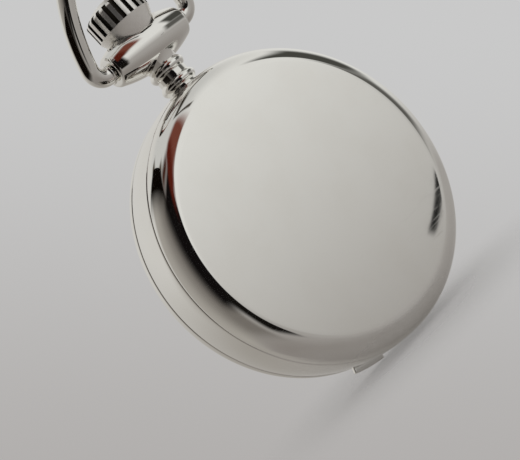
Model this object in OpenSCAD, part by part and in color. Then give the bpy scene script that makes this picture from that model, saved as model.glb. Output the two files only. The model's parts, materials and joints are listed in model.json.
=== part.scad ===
// Open face pocket watch: a polished case with a hinged back and bezel, a pendant
// with its crown and bow, and a stem-wound lever movement behind the dial.
// Everything is laid out in the bench frame of an open watch lying on its back:
// x towards 3 o'clock, y towards 12 o'clock and z out of the dial, from the case's centre.
// stand() then hangs the watch upright, dial towards -Y, from the top of its bow.

/* [Case] */
// Diameter of the case at its two seams
case_d = 46.4; // [46:0.2:49]
// Height of the middle band, seam to seam
band_h = 6.3; // [6.1:0.1:6.8]
// Swell of the band at its middle
band_swell = 0.25; // [0.1:0.05:0.4]
// Gap that shows as a seam
seam_gap = 0.12; // [0.08:0.02:0.2]
// Height of the rims that the covers close over
rim_h = 0.6; // [0.4:0.05:0.8]
// Room between those rims and the covers
rim_gap = 0.4; // [0.3:0.05:0.6]
// Width of those rims
rim_w = 1.1; // [0.7:0.1:1.3]

/* [Back cover] */
// Height from the seam to the edge of the disc
back_rise = 3.5; // [3.3:0.1:4.2]
// Diameter of the disc
disc_d = 40.6; // [39:0.2:41.6]
// Rise of the disc's dome at its middle
disc_dome = 0.55; // [0.3:0.05:0.9]
// Swell of the shoulder outside the disc
shoulder_swell = 0.76; // [0.5:0.02:0.9]
// Wall
back_wall = 0.6; // [0.45:0.05:0.7]

/* [Bezel and crystal] */
// Height from the seam to the front land
bezel_h = 2.6; // [2.5:0.1:3.2]
// Swell of the bezel's outside
bezel_swell = 0.5; // [0.3:0.05:0.6]
// Outer diameter of the flat front land
land_d = 44; // [43:0.2:44.6]
// Width of the flat front land
land_w = 1.1; // [0.8:0.1:1.4]
// Diameter of the opening over the dial
opening_d = 39.8; // [38.4:0.2:40.2]
// Thickness of the crystal's edge
crystal_t = 0.7; // [0.5:0.05:0.8]
// Rise of the crystal's dome
crystal_dome = 0.25; // [0.1:0.05:0.3]
// How deep the crystal sits in its groove
crystal_seat = 0.7; // [0.4:0.1:0.9]
// Direction of the thumbnail lip, from 3 o'clock
lip_angle = -75; // [-110:5:-40]
// Width of the lip, as an angle
lip_span = 13; // [8:1:20]
// How far the lip stands out of the seam's circle
lip_out = 0.95; // [0.8:0.05:1.3]
// Thickness of the lip
lip_t = 0.7; // [0.4:0.1:1]

/* [Hinges] */
// Outer diameter of the knuckles
knuckle_d = 1.5; // [1.2:0.1:1.6]
// Diameter of the pins
pin_d = 0.7; // [0.5:0.05:0.8]
// Width of a hinge along its pin
hinge_w = 6.6; // [5:0.2:7]
// Distance of the pins inside the seam's circle
hinge_in = 0.2; // [0.1:0.05:0.3]
// Distance of the pins from the seams, sunk into the band
hinge_sink = 0.95; // [0.9:0.05:1.2]
// Gap between knuckles
knuckle_gap = 0.12; // [0.08:0.02:0.2]
// Radial clearance of a pin in its knuckles
pin_fit = 0.04; // [0.02:0.01:0.08]

/* [Pendant] */
// Diameter of the neck
neck_d = 4.8; // [4.6:0.1:5.2]
// Diameter of the two beads on the neck
bead_d = 5.8; // [5.4:0.1:6.2]
// Height of one bead
bead_h = 1.6; // [1.4:0.1:1.8]
// Height of the plain neck between the beads
neck_h = 0.8; // [0.6:0.05:1]
// Length of the ball, from one foot of the bow to the other
ball_w = 14; // [13.4:0.2:14.6]
// Diameter of the ball at its middle
ball_d = 7.2; // [6.8:0.1:7.6]
// Diameter of the ball at its two ends
ball_end_d = 4.6; // [4.2:0.1:5]
// Diameter of the flare under the ball
flare_d = 5.6; // [5.2:0.1:6]
// Room between the crown's skirt and the cup in the ball
cup_gap = 0.25; // [0.15:0.05:0.4]
// Diameter of the tenon that holds the pendant in the band
tenon_d = 4.4; // [4:0.1:4.5]
// Radial clearance of the stem in the pendant
stem_fit = 0.08; // [0.04:0.01:0.1]

/* [Bow] */
// Diameter of the bow's wire
wire_d = 2.6; // [2.2:0.1:2.8]
// Length of the straight foot between the ball and the bend
foot_len = 0.7; // [0.5:0.1:1.2]
// Radius of the bend where an arm meets its foot
bow_bend_r = 2; // [1.7:0.1:2.4]
// Lean of the arms towards each other where they leave that bend
arm_lean = 5; // [0:1:8]
// Radius of the arms' own curve
arm_r = 26; // [22:1:34]
// Angle through which an arm curves
arm_turn = 24; // [16:1:28]
// Lean of the bow towards the back when it is let go
bow_lean = 22; // [0:1:30]
// Diameter of the pivots at the bow's feet
foot_d = 1.7; // [1.4:0.1:1.9]
// How deep the pivots sit in the ball
foot_depth = 2.2; // [1.6:0.1:2.6]
// Radial clearance of the pivots
foot_fit = 0.05; // [0.02:0.01:0.1]

/* [Crown] */
// Diameter over the flutes
crown_d = 9; // [8.6:0.2:9.6]
// Diameter at the foot of the skirt
skirt_d = 6.4; // [6:0.2:7]
// Height of the smooth skirt
skirt_h = 2.8; // [2.4:0.1:3.2]
// Height of the fluted part
flute_h = 2.9; // [2.4:0.1:3.4]
// Height of the domed cap
cap_h = 1.3; // [1:0.1:1.6]
// Number of flutes
flutes = 21; // [18:1:26]
// Diameter of the cutter that makes a flute
flute_d = 0.84; // [0.6:0.02:0.9]
// Gap between the crown and the ball
crown_gap = 0.2; // [0.12:0.02:0.4]
// How far the crown pulls out to set the hands
pull = 0.9; // [0.6:0.05:1]

/* [Movement] */
// Diameter of the mainplate below its flange
plate_d = 39.4; // [39:0.1:39.6]
// Thickness of the mainplate
plate_t = 2.3; // [2.2:0.05:2.4]
// Radial clearance of the mainplate in the case
plate_fit = 0.1; // [0.05:0.01:0.15]
// Width of the flange that sits on the case
flange_w = 0.6; // [0.4:0.05:0.8]
// Height of the flange
flange_t = 0.4; // [0.3:0.05:0.6]
// Room for the motion works under the dial
motion_room = 1; // [0.95:0.05:1.1]
// Thickness of the dial
dial_t = 0.4; // [0.3:0.05:0.5]
// Diameter of the small seconds dial
seconds_dial_d = 10; // [8:0.5:11]
// Depth of the small seconds dial
seconds_dial_sink = 0.12; // [0.06:0.02:0.2]
// Thickness of the train bridge and the balance cock
bridge_t = 1; // [0.8:0.05:1.2]
// Thickness of the pallet bridge
pallet_bridge_t = 0.7; // [0.6:0.05:0.8]
// Free room above and below a turning wheel
wheel_room = 0.25; // [0.2:0.01:0.28]
// Diameter of the large screw heads
screw_d = 2.2; // [1.8:0.1:2.4]
// Height of a screw head
screw_h = 0.35; // [0.3:0.05:0.45]
// Diameter of a screw's shank
shank_d = 1; // [0.8:0.05:1.1]
// Diameter of a jewel
jewel_d = 1.5; // [1.3:0.05:1.7]
// Thickness of a jewel
jewel_t = 0.35; // [0.3:0.05:0.4]
// Diameter of a pivot
pivot_d = 0.28; // [0.24:0.02:0.32]
// Radial clearance of a pivot
pivot_fit = 0.03; // [0.02:0.01:0.05]

/* [Going train] */
// Distance of the seconds hand below the centre
seconds_drop = 8.5; // [8.3:0.1:8.8]
// Teeth of the barrel
barrel_teeth = 78; // [76:1:80]
// Leaves of the centre pinion
centre_leaves = 12; // [12:1:12]
// Teeth of the centre wheel
centre_teeth = 64; // [63:1:65]
// Leaves of the third pinion
third_leaves = 8; // [8:1:8]
// Teeth of the third wheel
third_teeth = 60; // [59:1:61]
// Leaves of the fourth pinion
fourth_leaves = 8; // [8:1:8]
// Teeth of the fourth wheel
fourth_teeth = 60; // [58:1:61]
// Leaves of the escape pinion
escape_leaves = 6; // [6:1:6]
// Module of the barrel and the centre pinion
barrel_mod = 0.184; // [0.182:0.001:0.186]
// Module of the centre wheel and the third pinion
centre_mod = 0.2; // [0.196:0.002:0.202]
// Module of the third wheel and the fourth pinion
third_mod = 0.19; // [0.188:0.001:0.192]
// Module of the fourth wheel and the escape pinion
fourth_mod = 0.16; // [0.156:0.002:0.162]
// Thickness of a train wheel
wheel_t = 0.3; // [0.25:0.01:0.32]
// Diameter of a train arbor
arbor_d = 0.7; // [0.6:0.05:0.8]
// Height of the barrel
barrel_h = 1.7; // [1.5:0.05:1.75]
// Wall of the barrel
barrel_wall = 0.45; // [0.35:0.05:0.6]
// Diameter of the barrel arbor
barrel_arbor_d = 1.8; // [1.6:0.1:2]
// Radial clearance of the barrel on its arbor
barrel_fit = 0.05; // [0.03:0.01:0.08]
// Turns of the mainspring
mainspring_turns = 5; // [4:1:5]
// Thickness of the mainspring
mainspring_t = 0.2; // [0.15:0.01:0.25]

/* [Winding and setting] */
// Diameter of the winding stem
stem_d = 1.4; // [1.3:0.02:1.44]
// Side of the stem's square
square_w = 0.94; // [0.86:0.02:0.96]
// Clearance on each side of the square
square_fit = 0.04; // [0.03:0.01:0.06]
// Distance of the winding pinion from the centre
pinion_y = 14.2; // [14:0.1:14.4]
// Width of the winding pinion
pinion_w = 1.4; // [1.2:0.1:1.5]
// Teeth of the winding pinion
pinion_teeth = 14; // [14:1:14]
// Teeth of the crown wheel
crown_wheel_teeth = 26; // [25:1:26]
// Teeth of the ratchet wheel
ratchet_teeth = 40; // [39:1:40]
// Module of the winding wheels
winding_mod = 0.336; // [0.33:0.002:0.34]
// Thickness of the winding wheels
winding_t = 0.6; // [0.5:0.05:0.7]
// Diameter of the clutch
clutch_d = 2.3; // [2.2:0.02:2.36]
// Height of the coupling teeth between clutch and pinion
coupling_h = 0.3; // [0.2:0.02:0.36]
// How far the clutch shifts when the crown is pulled
clutch_shift = 0.5; // [0.4:0.05:0.6]
// Diameter of the crown wheel's screw head
crown_screw_d = 5; // [4.4:0.2:5.6]
// Teeth of the setting wheel
setting_teeth = 26; // [25:1:27]
// Leaves of the cannon pinion
cannon_leaves = 12; // [12:1:12]
// Teeth of the minute wheel
minute_teeth = 36; // [36:1:36]
// Leaves of the minute pinion
minute_leaves = 10; // [10:1:10]
// Teeth of the hour wheel
hour_teeth = 40; // [40:1:40]
// Module of the cannon pinion, minute wheel and setting wheel
motion_mod = 0.16; // [0.156:0.002:0.162]

/* [Escapement] */
// Diameter of the escape wheel
escape_d = 5.2; // [4.8:0.1:5.4]
// Teeth of the escape wheel
escape_teeth = 15; // [15:1:15]
// Direction of the escape wheel, seen from the fourth wheel
escape_angle = 250; // [247:1:252]
// Distance from the escape wheel to the balance
balance_reach = 6.9; // [6.8:0.05:7.1]
// Direction of the balance, seen from the escape wheel
balance_angle = 152; // [151:1:155]
// Distance from the escape wheel to the pallets' arbor
pallet_reach = 3.3; // [3.2:0.05:3.4]
// Room between the escape wheel and the stones when the fork is in the middle
stone_gap = 0.3; // [0.26:0.02:0.36]
// Diameter of the balance over its screws
balance_d = 10; // [9.2:0.1:10.2]
// Height of the balance rim
balance_t = 0.7; // [0.5:0.05:0.8]
// Number of screws in the balance rim
balance_screws = 14; // [10:2:16]
// Distance of the impulse jewel from the balance's axis
impulse_r = 1; // [0.9:0.02:1.05]
// Diameter of the roller
roller_d = 2.6; // [2.5:0.1:2.8]
// Turns of the hairspring
hairspring_turns = 5; // [4:1:5]
// Thickness of the hairspring
hairspring_t = 0.08; // [0.06:0.01:0.1]
// Height of the hairspring
hairspring_h = 0.25; // [0.15:0.05:0.3]

/* [Hands] */
// Length of the hour hand
hour_len = 11; // [9:0.5:12]
// Length of the minute hand
minute_len = 16; // [14:0.5:17]
// Length of the seconds hand
seconds_len = 4.1; // [3.5:0.1:4.6]
// Thickness of a hand
hand_t = 0.2; // [0.15:0.01:0.22]
// Gap between hands, and from them to the dial
hand_gap = 0.2; // [0.16:0.01:0.24]
// Radial clearance of the nested hand pipes
pipe_fit = 0.04; // [0.03:0.01:0.06]

/* [Hidden] */
$fn = 96;
far = 40;
skin = 0.02;
face_gap = 0.05;
steps = 14;

// Proportions of a tooth: its height above and below the pitch circle, in modules,
// and half its width at the foot and at the tip, in pitches
tooth_add = 0.8;
tooth_ded = 1.1;
tooth_foot = 0.27;
tooth_tip = 0.12;

function polar(r, a) = [r * cos(a), r * sin(a)];
function bearing(p, q) = atan2(q.y - p.y, q.x - p.x);
function pitch_r(teeth, mod) = teeth * mod / 2;
function tip_r(teeth, mod) = pitch_r(teeth, mod) + tooth_add * mod;
function reach(a, b, mod) = (a + b) * mod / 2;
// The point at distances rp and rq from p and q, on the given side of the line between them
function corner(p, q, rp, rq, side) =
    let (d = norm(q - p), along = (rp * rp - rq * rq + d * d) / (2 * d))
    let (out = sqrt(rp * rp - along * along), u = (q - p) / d)
    p + along * u + side * out * [-u.y, u.x];
// The direction of a tooth of the second wheel that leaves room for the first wheel's teeth
function in_mesh(toward, lead, teeth, other) =
    toward + 180 - (lead - toward) * teeth / other + 180 / other;
function tooth_ring(teeth, mod, lead) = [
    for (i = [0 : teeth - 1], c = [[-tooth_foot, -tooth_ded], [-tooth_tip, tooth_add],
                                   [tooth_tip, tooth_add], [tooth_foot, -tooth_ded]])
        polar(pitch_r(teeth, mod) + c[1] * mod, lead + 360 / teeth * (i + c[0]))];
// Points from p to q that swell out to the right of the way from one to the other
function swell(p, q, out) =
    let (d = q - p, n = [d.y, -d.x] / norm(d))
    [for (i = [0 : steps]) p + d * i / steps + n * out * 4 * (i / steps) * (1 - i / steps)];
function dome(r, z_edge, rise) =
    [for (i = [0 : steps]) [r * i / steps, z_edge + rise * (1 - pow(i / steps, 2))]];
function spiral(r0, r1, turns, thick) = let (n = turns * 24)
    concat([for (i = [0 : n]) polar(r0 + (r1 - r0) * i / n - thick / 2, 360 * turns * i / n)],
           [for (i = [n : -1 : 0]) polar(r0 + (r1 - r0) * i / n + thick / 2, 360 * turns * i / n)]);

case_r = case_d / 2;
half_band = band_h / 2;
disc_r = disc_d / 2;
// The movement stays inside the band's least wall, and the front land outside the opening
band_wall = 2.2;
frame_w = 1.75;
plate_r = min(plate_d / 2, case_r - band_wall);
land_r = max(land_d / 2, opening_d / 2 + frame_w);
bore_r = plate_r + plate_fit;
seat_r = plate_r + flange_w;
recess_r = seat_r + plate_fit;
hinge_x = -(case_r - hinge_in);
hinge_z = half_band - hinge_sink;

// Levels from the dial down to the plate
dial_top = half_band;
dial_low = dial_top - dial_t;
plate_top = dial_low - motion_room;
plate_back = plate_top - plate_t;
flange_z = plate_top - flange_t;
dial_seat_w = 1.1;
dial_r = seat_r;

// Levels behind the plate
centre_z = plate_back - 0.2;
third_z = centre_z - wheel_t - wheel_room;
fourth_z = third_z - wheel_t - wheel_room;
train_z = fourth_z - wheel_t - wheel_room;
train_top = train_z - bridge_t;
barrel_bridge_z = centre_z - wheel_t - wheel_room;
winding_z = -(pitch_r(pinion_teeth, winding_mod) - 0.05);
barrel_bridge_top = winding_z + face_gap;
winding_top = winding_z - winding_t;
lever_z = plate_back - 0.3;
lever_t = 0.25;
roller_z = lever_z - lever_t - 0.25;
roller_t = 0.2;
pallet_z = lever_z - lever_t - 0.3;
pallet_top = pallet_z - pallet_bridge_t;
balance_z = pallet_top - screw_h - 0.12;
balance_top = balance_z - balance_t;
hairspring_z = balance_top - 0.2;
cock_z = hairspring_z - hairspring_h - 0.25;
cock_top = cock_z - bridge_t;
regulator_t = 0.2;
pallet_jewel_d = jewel_d - 0.4;

// Levels of the barrel, sunk in the plate
barrel_floor = 0.45;
barrel_low = plate_top - barrel_floor - 0.1;
barrel_top = barrel_low - barrel_h;
barrel_rim_t = 0.4;
barrel_lid_t = 0.25;

// Levels of the hands
hour_z = dial_top + 2 * hand_gap;
minute_z = hour_z + hand_t + hand_gap;
seconds_z = dial_top - seconds_dial_sink + hand_gap;
crystal_low = minute_z + hand_t + hand_gap + 0.15;
crystal_top = crystal_low + crystal_t;
bezel_top = half_band + bezel_h;

// Places of the wheels
centre_at = [0, 0];
fourth_at = [0, -seconds_drop];
third_at = corner(centre_at, fourth_at, reach(centre_teeth, third_leaves, centre_mod),
                  reach(third_teeth, fourth_leaves, third_mod), 1);
escape_at = fourth_at + polar(reach(fourth_teeth, escape_leaves, fourth_mod), escape_angle);
pallet_at = escape_at + polar(pallet_reach, balance_angle);
balance_at = escape_at + polar(balance_reach, balance_angle);
winding_mesh = 1.6 * winding_mod;
crown_wheel_at = [0, pinion_y + winding_mesh - tip_r(crown_wheel_teeth, winding_mod)];
barrel_at = corner(centre_at, crown_wheel_at, reach(barrel_teeth, centre_leaves, barrel_mod),
                   reach(crown_wheel_teeth, ratchet_teeth, winding_mod), 1);
clutch_w = 3;
clutch_end = pinion_y - 0.1 - clutch_w;
setting_at = [0, clutch_end - clutch_shift - 0.1 - tip_r(setting_teeth, motion_mod)];
minute_at = corner(centre_at, setting_at, reach(cannon_leaves, minute_teeth, motion_mod),
                   reach(minute_teeth, setting_teeth, motion_mod), -1);
hour_mod = 2 * norm(minute_at) / (hour_teeth + minute_leaves);

// Directions of the teeth at rest, each wheel set in mesh with the one before it
barrel_lead = bearing(barrel_at, centre_at);
centre_pinion_lead = in_mesh(barrel_lead, barrel_lead, barrel_teeth, centre_leaves);
centre_lead = bearing(centre_at, third_at);
third_pinion_lead = in_mesh(centre_lead, centre_lead, centre_teeth, third_leaves);
third_lead = bearing(third_at, fourth_at);
fourth_pinion_lead = in_mesh(third_lead, third_lead, third_teeth, fourth_leaves);
fourth_lead = bearing(fourth_at, escape_at);
escape_pinion_lead = in_mesh(fourth_lead, fourth_lead, fourth_teeth, escape_leaves);
crown_wheel_lead = 90 + 180 / crown_wheel_teeth;
ratchet_lead = in_mesh(bearing(crown_wheel_at, barrel_at), crown_wheel_lead,
                       crown_wheel_teeth, ratchet_teeth);
cannon_lead = bearing(centre_at, minute_at);
minute_lead = in_mesh(cannon_lead, cannon_lead, cannon_leaves, minute_teeth);
minute_pinion_lead = bearing(minute_at, centre_at);
hour_lead = in_mesh(minute_pinion_lead, minute_pinion_lead, minute_leaves, hour_teeth);
setting_lead = in_mesh(bearing(minute_at, setting_at), minute_lead, minute_teeth, setting_teeth);

// Pendant and bow, by distance from the case's centre
tenon_end = recess_r + 0.5;
shoulder_at = case_r + band_swell;
ball_low = shoulder_at + 2 * bead_h + neck_h + 0.15;
bow_at = ball_low + ball_d / 2;
cup_low = bow_at + foot_d / 2 + 0.4;
crown_low = cup_low + crown_gap;
crown_top = crown_low + skirt_h + flute_h + cap_h;
arm_x = ball_w / 2 + foot_len + bow_bend_r;
// The arm leaves the foot bend with its lean and curves in, and a smaller arc closes the top
bend_c = [arm_x - bow_bend_r, bow_bend_r];
arm_c = bend_c + polar(bow_bend_r - arm_r, arm_lean);
crest_a = arm_lean + arm_turn;
arm_end = arm_c + polar(arm_r, crest_a);
crest_r = arm_end.x / cos(crest_a);
crest_c = [0, arm_end.y - crest_r * sin(crest_a)];
eye_up = crest_c.y + crest_r - wire_d / 2;
hang = [0, bow_at + eye_up * cos(bow_lean), -eye_up * sin(bow_lean)];

// Setting works on the dial side of the plate
lever_pin_at = [0, pinion_y + pinion_w + 1.4];
lever_pivot_at = lever_pin_at + [5, -0.5];
yoke_at = [-6.2, clutch_end + 1.35];
keyless_z = plate_top + face_gap;
keyless_t = 0.4;

// Places of the screws that hold the movement together
barrel_screw_r = plate_r - 1.9;
barrel_screws = [for (a = [178, 124, 60]) polar(barrel_screw_r, a)];
train_screws = [for (a = [-62, -6]) polar(barrel_screw_r, a)];
cock_foot = polar(plate_r - 3.4, 200);
pallet_foot = polar(plate_r - 2.4, 249);
case_screw_places = [for (a = [30, 213]) polar(plate_r - 0.8, a)];
dial_feet = [for (a = [20, 152, 275]) polar(plate_r - 2.1, a)];
foot_w = 2.8;
click_at = barrel_at + polar(tip_r(ratchet_teeth, winding_mod) + 2.1, 152);
click_lead = bearing(click_at, barrel_at);

// Shared shapes
module stand() { rotate([90, 0, 0]) translate(-hang) children(); }
module at(p) { translate([p.x, p.y, 0]) children(); }
// A cylinder between two levels
module rod(d, z0, z1) { translate([0, 0, min(z0, z1)]) cylinder(d = d, h = abs(z1 - z0)); }
// A plate with a flat outline between two levels
module slab(z0, z1) { translate([0, 0, min(z0, z1)]) linear_extrude(abs(z1 - z0)) children(); }
// Turns what is built along z to lie along the pendant
module along_pendant() { rotate([-90, 0, 0]) children(); }
// A flat bar with round ends
module bar(p, q, w) {
    translate(p) circle(d = w);
    translate(q) circle(d = w);
    translate(p) rotate(bearing(p, q)) translate([0, -w / 2]) square([norm(q - p), w]);
}
module gear(teeth, mod, lead) { polygon(tooth_ring(teeth, mod, lead)); }
// A wheel with its rim, spokes and hub
module wheel(teeth, mod, lead, spokes) {
    inner = pitch_r(teeth, mod) - (tooth_ded + 2.5) * mod;
    difference() {
        gear(teeth, mod, lead);
        circle(r = inner);
    }
    for (a = [0 : spokes - 1])
        rotate(lead + 360 / spokes * a) translate([0, -0.3]) square([inner + skin, 0.6]);
    circle(d = 2.6 * arbor_d);
}
// An arbor with a thin pivot at each end, between two bearings
module arbor(low, high) {
    rod(arbor_d, low - 0.08, high + 0.08);
    rod(pivot_d, low + jewel_t - 0.05, high - bridge_t + 0.05);
}
// A slotted screw with its head on the level z0, standing out towards the back
module screw(z0, depth, head = screw_d) {
    difference() {
        union() {
            rod(head, z0, z0 - screw_h);
            rod(shank_d, z0 + depth, z0);
        }
        translate([-head, -0.13, z0 - screw_h - skin]) cube([2 * head, 0.26, 0.2 + skin]);
    }
}
module hinge_rod(d, z, y0, y1) {
    translate([hinge_x, y0, z]) along_pendant() cylinder(d = d, h = y1 - y0);
}
module pin_bore(z) { hinge_rod(pin_d + 2 * pin_fit, z, -hinge_w / 2 - 0.1, hinge_w / 2 + 0.1); }
module hinge_pin(z) { hinge_rod(pin_d, z, -hinge_w / 2, hinge_w / 2); }
third_w = hinge_w / 3;
// The two outer knuckles of a cover and the webs that carry them
module outer_knuckles(side) {
    for (s = [-1, 1]) {
        y0 = s > 0 ? third_w / 2 + knuckle_gap : -hinge_w / 2;
        hinge_rod(knuckle_d, side * hinge_z, y0, y0 + third_w - knuckle_gap);
        web = hinge_sink + seam_gap + 0.5;
        translate([hinge_x - 0.15, y0, side > 0 ? hinge_z : -hinge_z - web])
            cube([0.75, third_w - knuckle_gap, web]);
    }
}
// The room in the band for a cover's knuckles and webs
module knuckle_pockets(side) {
    deep = 0.75;
    for (s = [-1, 1]) {
        y0 = s > 0 ? third_w / 2 : -hinge_w / 2 - knuckle_gap;
        hinge_rod(knuckle_d + 2 * knuckle_gap, side * hinge_z, y0, y0 + third_w + knuckle_gap);
        translate([hinge_x + deep - 4, y0, side > 0 ? hinge_z : -hinge_z - hinge_sink - 0.01])
            cube([4, third_w + knuckle_gap, hinge_sink + 0.01]);
    }
}

// Case
module mid_case() {
    rim_out = case_r - back_wall - rim_gap;
    profile = concat(
        swell([case_r, -half_band], [case_r, half_band], band_swell),
        [[rim_out, half_band], [rim_out, half_band + rim_h],
         [rim_out - rim_w, half_band + rim_h], [rim_out - rim_w, half_band],
         [recess_r, half_band], [recess_r, flange_z], [bore_r, flange_z], [bore_r, plate_back],
         [bore_r + 0.8, plate_back], [bore_r + 0.8, plate_back - 0.6],
         [bore_r, plate_back - 0.6], [bore_r, -half_band], [rim_out - rim_w, -half_band],
         [rim_out - rim_w, -half_band - rim_h], [rim_out, -half_band - rim_h],
         [rim_out, -half_band]]);
    color("silver") stand() difference() {
        union() {
            rotate_extrude() polygon(profile);
            for (s = [-1, 1]) hinge_rod(knuckle_d, s * hinge_z, -third_w / 2, third_w / 2);
        }
        for (s = [-1, 1]) {
            pin_bore(s * hinge_z);
            knuckle_pockets(s);
        }
        along_pendant() cylinder(d = tenon_d, h = far);
        along_pendant() translate([0, 0, shoulder_at - 0.4]) cylinder(d = neck_d, h = far);
    }
}
module pendant() {
    bead_low = shoulder_at + 0.1;
    bulge = swell([neck_d / 2, bead_low], [neck_d / 2, bead_low + bead_h], (bead_d - neck_d) / 2);
    bulge_2 = [for (p = bulge) p + [0, neck_h + bead_h]];
    ball = swell([ball_end_d / 2, -ball_w / 2], [ball_end_d / 2, ball_w / 2],
                 (ball_d - ball_end_d) / 2);
    color("silver") stand() difference() {
        union() {
            along_pendant() rotate_extrude()
                polygon(concat([[0, tenon_end], [tenon_d / 2, tenon_end],
                                [tenon_d / 2, shoulder_at - 0.4], [neck_d / 2, shoulder_at - 0.4]],
                               bulge, bulge_2,
                               [[flare_d / 2, ball_low + ball_d / 5], [flare_d / 2, bow_at - 0.6],
                                [0, bow_at - 0.6]]));
            translate([0, bow_at, 0]) rotate([0, 90, 0]) rotate_extrude()
                polygon(concat([[0, -ball_w / 2]], ball, [[0, ball_w / 2]]));
        }
        along_pendant() translate([0, 0, tenon_end - 1])
            cylinder(r = stem_d / 2 + stem_fit, h = bow_at - tenon_end + 2 + ball_d / 2);
        along_pendant() translate([0, 0, cup_low])
            cylinder(r1 = skirt_d / 2 + cup_gap, r2 = crown_d / 2 + cup_gap, h = skirt_h);
        for (s = [-1, 1])
            translate([s * (ball_w / 2 - foot_depth), bow_at, 0]) rotate([0, s * 90, 0])
                cylinder(r = foot_d / 2 + foot_fit, h = foot_depth + 1);
    }
}
module back_cover() {
    seam = -half_band - seam_gap;
    edge = -half_band - back_rise;
    outside = dome(disc_r, edge, -disc_dome);
    inside = dome(disc_r - back_wall, edge + back_wall, -disc_dome);
    lining = swell([disc_r - back_wall, edge + back_wall], [case_r - back_wall, seam],
                   shoulder_swell);
    profile = concat(
        outside, swell([disc_r, edge], [case_r, seam], shoulder_swell),
        [for (i = [steps : -1 : 0]) lining[i]],
        [for (i = [steps - 1 : -1 : 0]) inside[i]]);
    color("silver") stand() difference() {
        union() {
            rotate_extrude() polygon(profile);
            outer_knuckles(-1);
        }
        pin_bore(-hinge_z);
    }
}
module back_hinge_pin() { color("gainsboro") stand() hinge_pin(-hinge_z); }
module bezel() {
    seam = half_band + seam_gap;
    wall_r = case_r - back_wall - rim_gap + 0.15;
    hole = opening_d / 2;
    groove = hole + crystal_seat + skin;
    lip_root = max(wall_r, groove) + 0.2;
    profile = concat(
        swell([case_r, seam], [land_r, bezel_top], bezel_swell),
        [[land_r - land_w, bezel_top], [hole, crystal_top], [groove, crystal_top],
         [groove, crystal_low], [hole, crystal_low], [hole, half_band + rim_h + 0.15],
         [wall_r, half_band + rim_h + 0.15], [wall_r, seam]]);
    color("silver") stand() difference() {
        union() {
            rotate_extrude() polygon(profile);
            rotate([0, 0, lip_angle - lip_span / 2]) rotate_extrude(angle = lip_span)
                translate([lip_root, half_band + 0.75])
                    square([case_r + lip_out - lip_root, lip_t]);
            outer_knuckles(1);
        }
        pin_bore(hinge_z);
    }
}
module bezel_hinge_pin() { color("gainsboro") stand() hinge_pin(hinge_z); }
module crystal() {
    glass_r = opening_d / 2 + crystal_seat;
    front = dome(opening_d / 2, crystal_top, crystal_dome);
    color("lightcyan", 0.4) stand() rotate_extrude()
        polygon(concat([[0, crystal_low], [glass_r, crystal_low], [glass_r, crystal_top]],
                       [for (i = [steps : -1 : 0]) front[i]]));
}
module case_screws() {
    color("gainsboro") stand() for (p = case_screw_places) at(p) screw(plate_back, 1.2, 2.8);
}

// Bow, built upright in its own plane and then leant back. Each bend is a little
// thicker than the wire and laps over the lengths that it joins
module bend(centre, r, from, to) {
    lap = 0.1 / r * 180 / PI;
    translate([centre.x, centre.y, 0]) rotate([0, 0, from - lap])
        rotate_extrude(angle = to - from + 2 * lap) translate([r, 0]) circle(d = wire_d + 0.04);
}
module bow() {
    inside = ball_w / 2 - foot_depth + 0.1;
    foot = ball_w / 2 + 0.25;
    color("silver") stand() translate([0, bow_at, 0]) rotate([-bow_lean, 0, 0]) {
        for (s = [-1, 1]) rotate([0, s < 0 ? 180 : 0, 0]) {
            translate([inside, 0, 0]) rotate([0, 90, 0])
                cylinder(d = foot_d, h = foot - inside + 0.2);
            translate([foot, 0, 0]) rotate([0, 90, 0])
                cylinder(d = wire_d, h = arm_x - bow_bend_r - foot);
            bend(bend_c, bow_bend_r, -90, arm_lean);
            translate([arm_c.x, arm_c.y, 0]) rotate([0, 0, arm_lean])
                rotate_extrude(angle = arm_turn) translate([arm_r, 0]) circle(d = wire_d);
        }
        bend(crest_c, crest_r, crest_a, 180 - crest_a);
    }
}

// Crown and stem
module crown() {
    flute_low = crown_low + skirt_h;
    flute_top = flute_low + flute_h;
    cap = swell([crown_d / 2, flute_top], [0, crown_top], 0.45);
    color("silver") stand() difference() {
        along_pendant() rotate_extrude()
            polygon(concat([[0, crown_low], [skirt_d / 2, crown_low], [crown_d / 2, flute_low]],
                           cap));
        for (i = [0 : flutes - 1])
            along_pendant() rotate([0, 0, 360 / flutes * i])
                translate([crown_d / 2, 0, flute_low]) cylinder(d = flute_d, h = flute_h);
        along_pendant() translate([0, 0, crown_low - 1]) cylinder(d = stem_d, h = skirt_h + 2);
    }
}
module winding_stem() {
    groove = lever_pin_at.y;
    color("gainsboro") stand() {
        difference() {
            along_pendant() translate([0, 0, pinion_y - 0.4])
                cylinder(d = stem_d, h = crown_low + skirt_h + 1 - pinion_y + 0.4);
            along_pendant() translate([0, 0, groove - 0.4]) difference() {
                cylinder(d = 2 * stem_d, h = 0.8);
                cylinder(d = stem_d - 0.5, h = 0.8);
            }
        }
        translate([-square_w / 2, clutch_end - clutch_shift - 0.1, -square_w / 2])
            cube([square_w, pinion_y - clutch_end + clutch_shift, square_w]);
        along_pendant() translate([0, 0, clutch_end - clutch_shift - 1.6])
            cylinder(d = 0.8, h = 1.6);
    }
}

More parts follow.
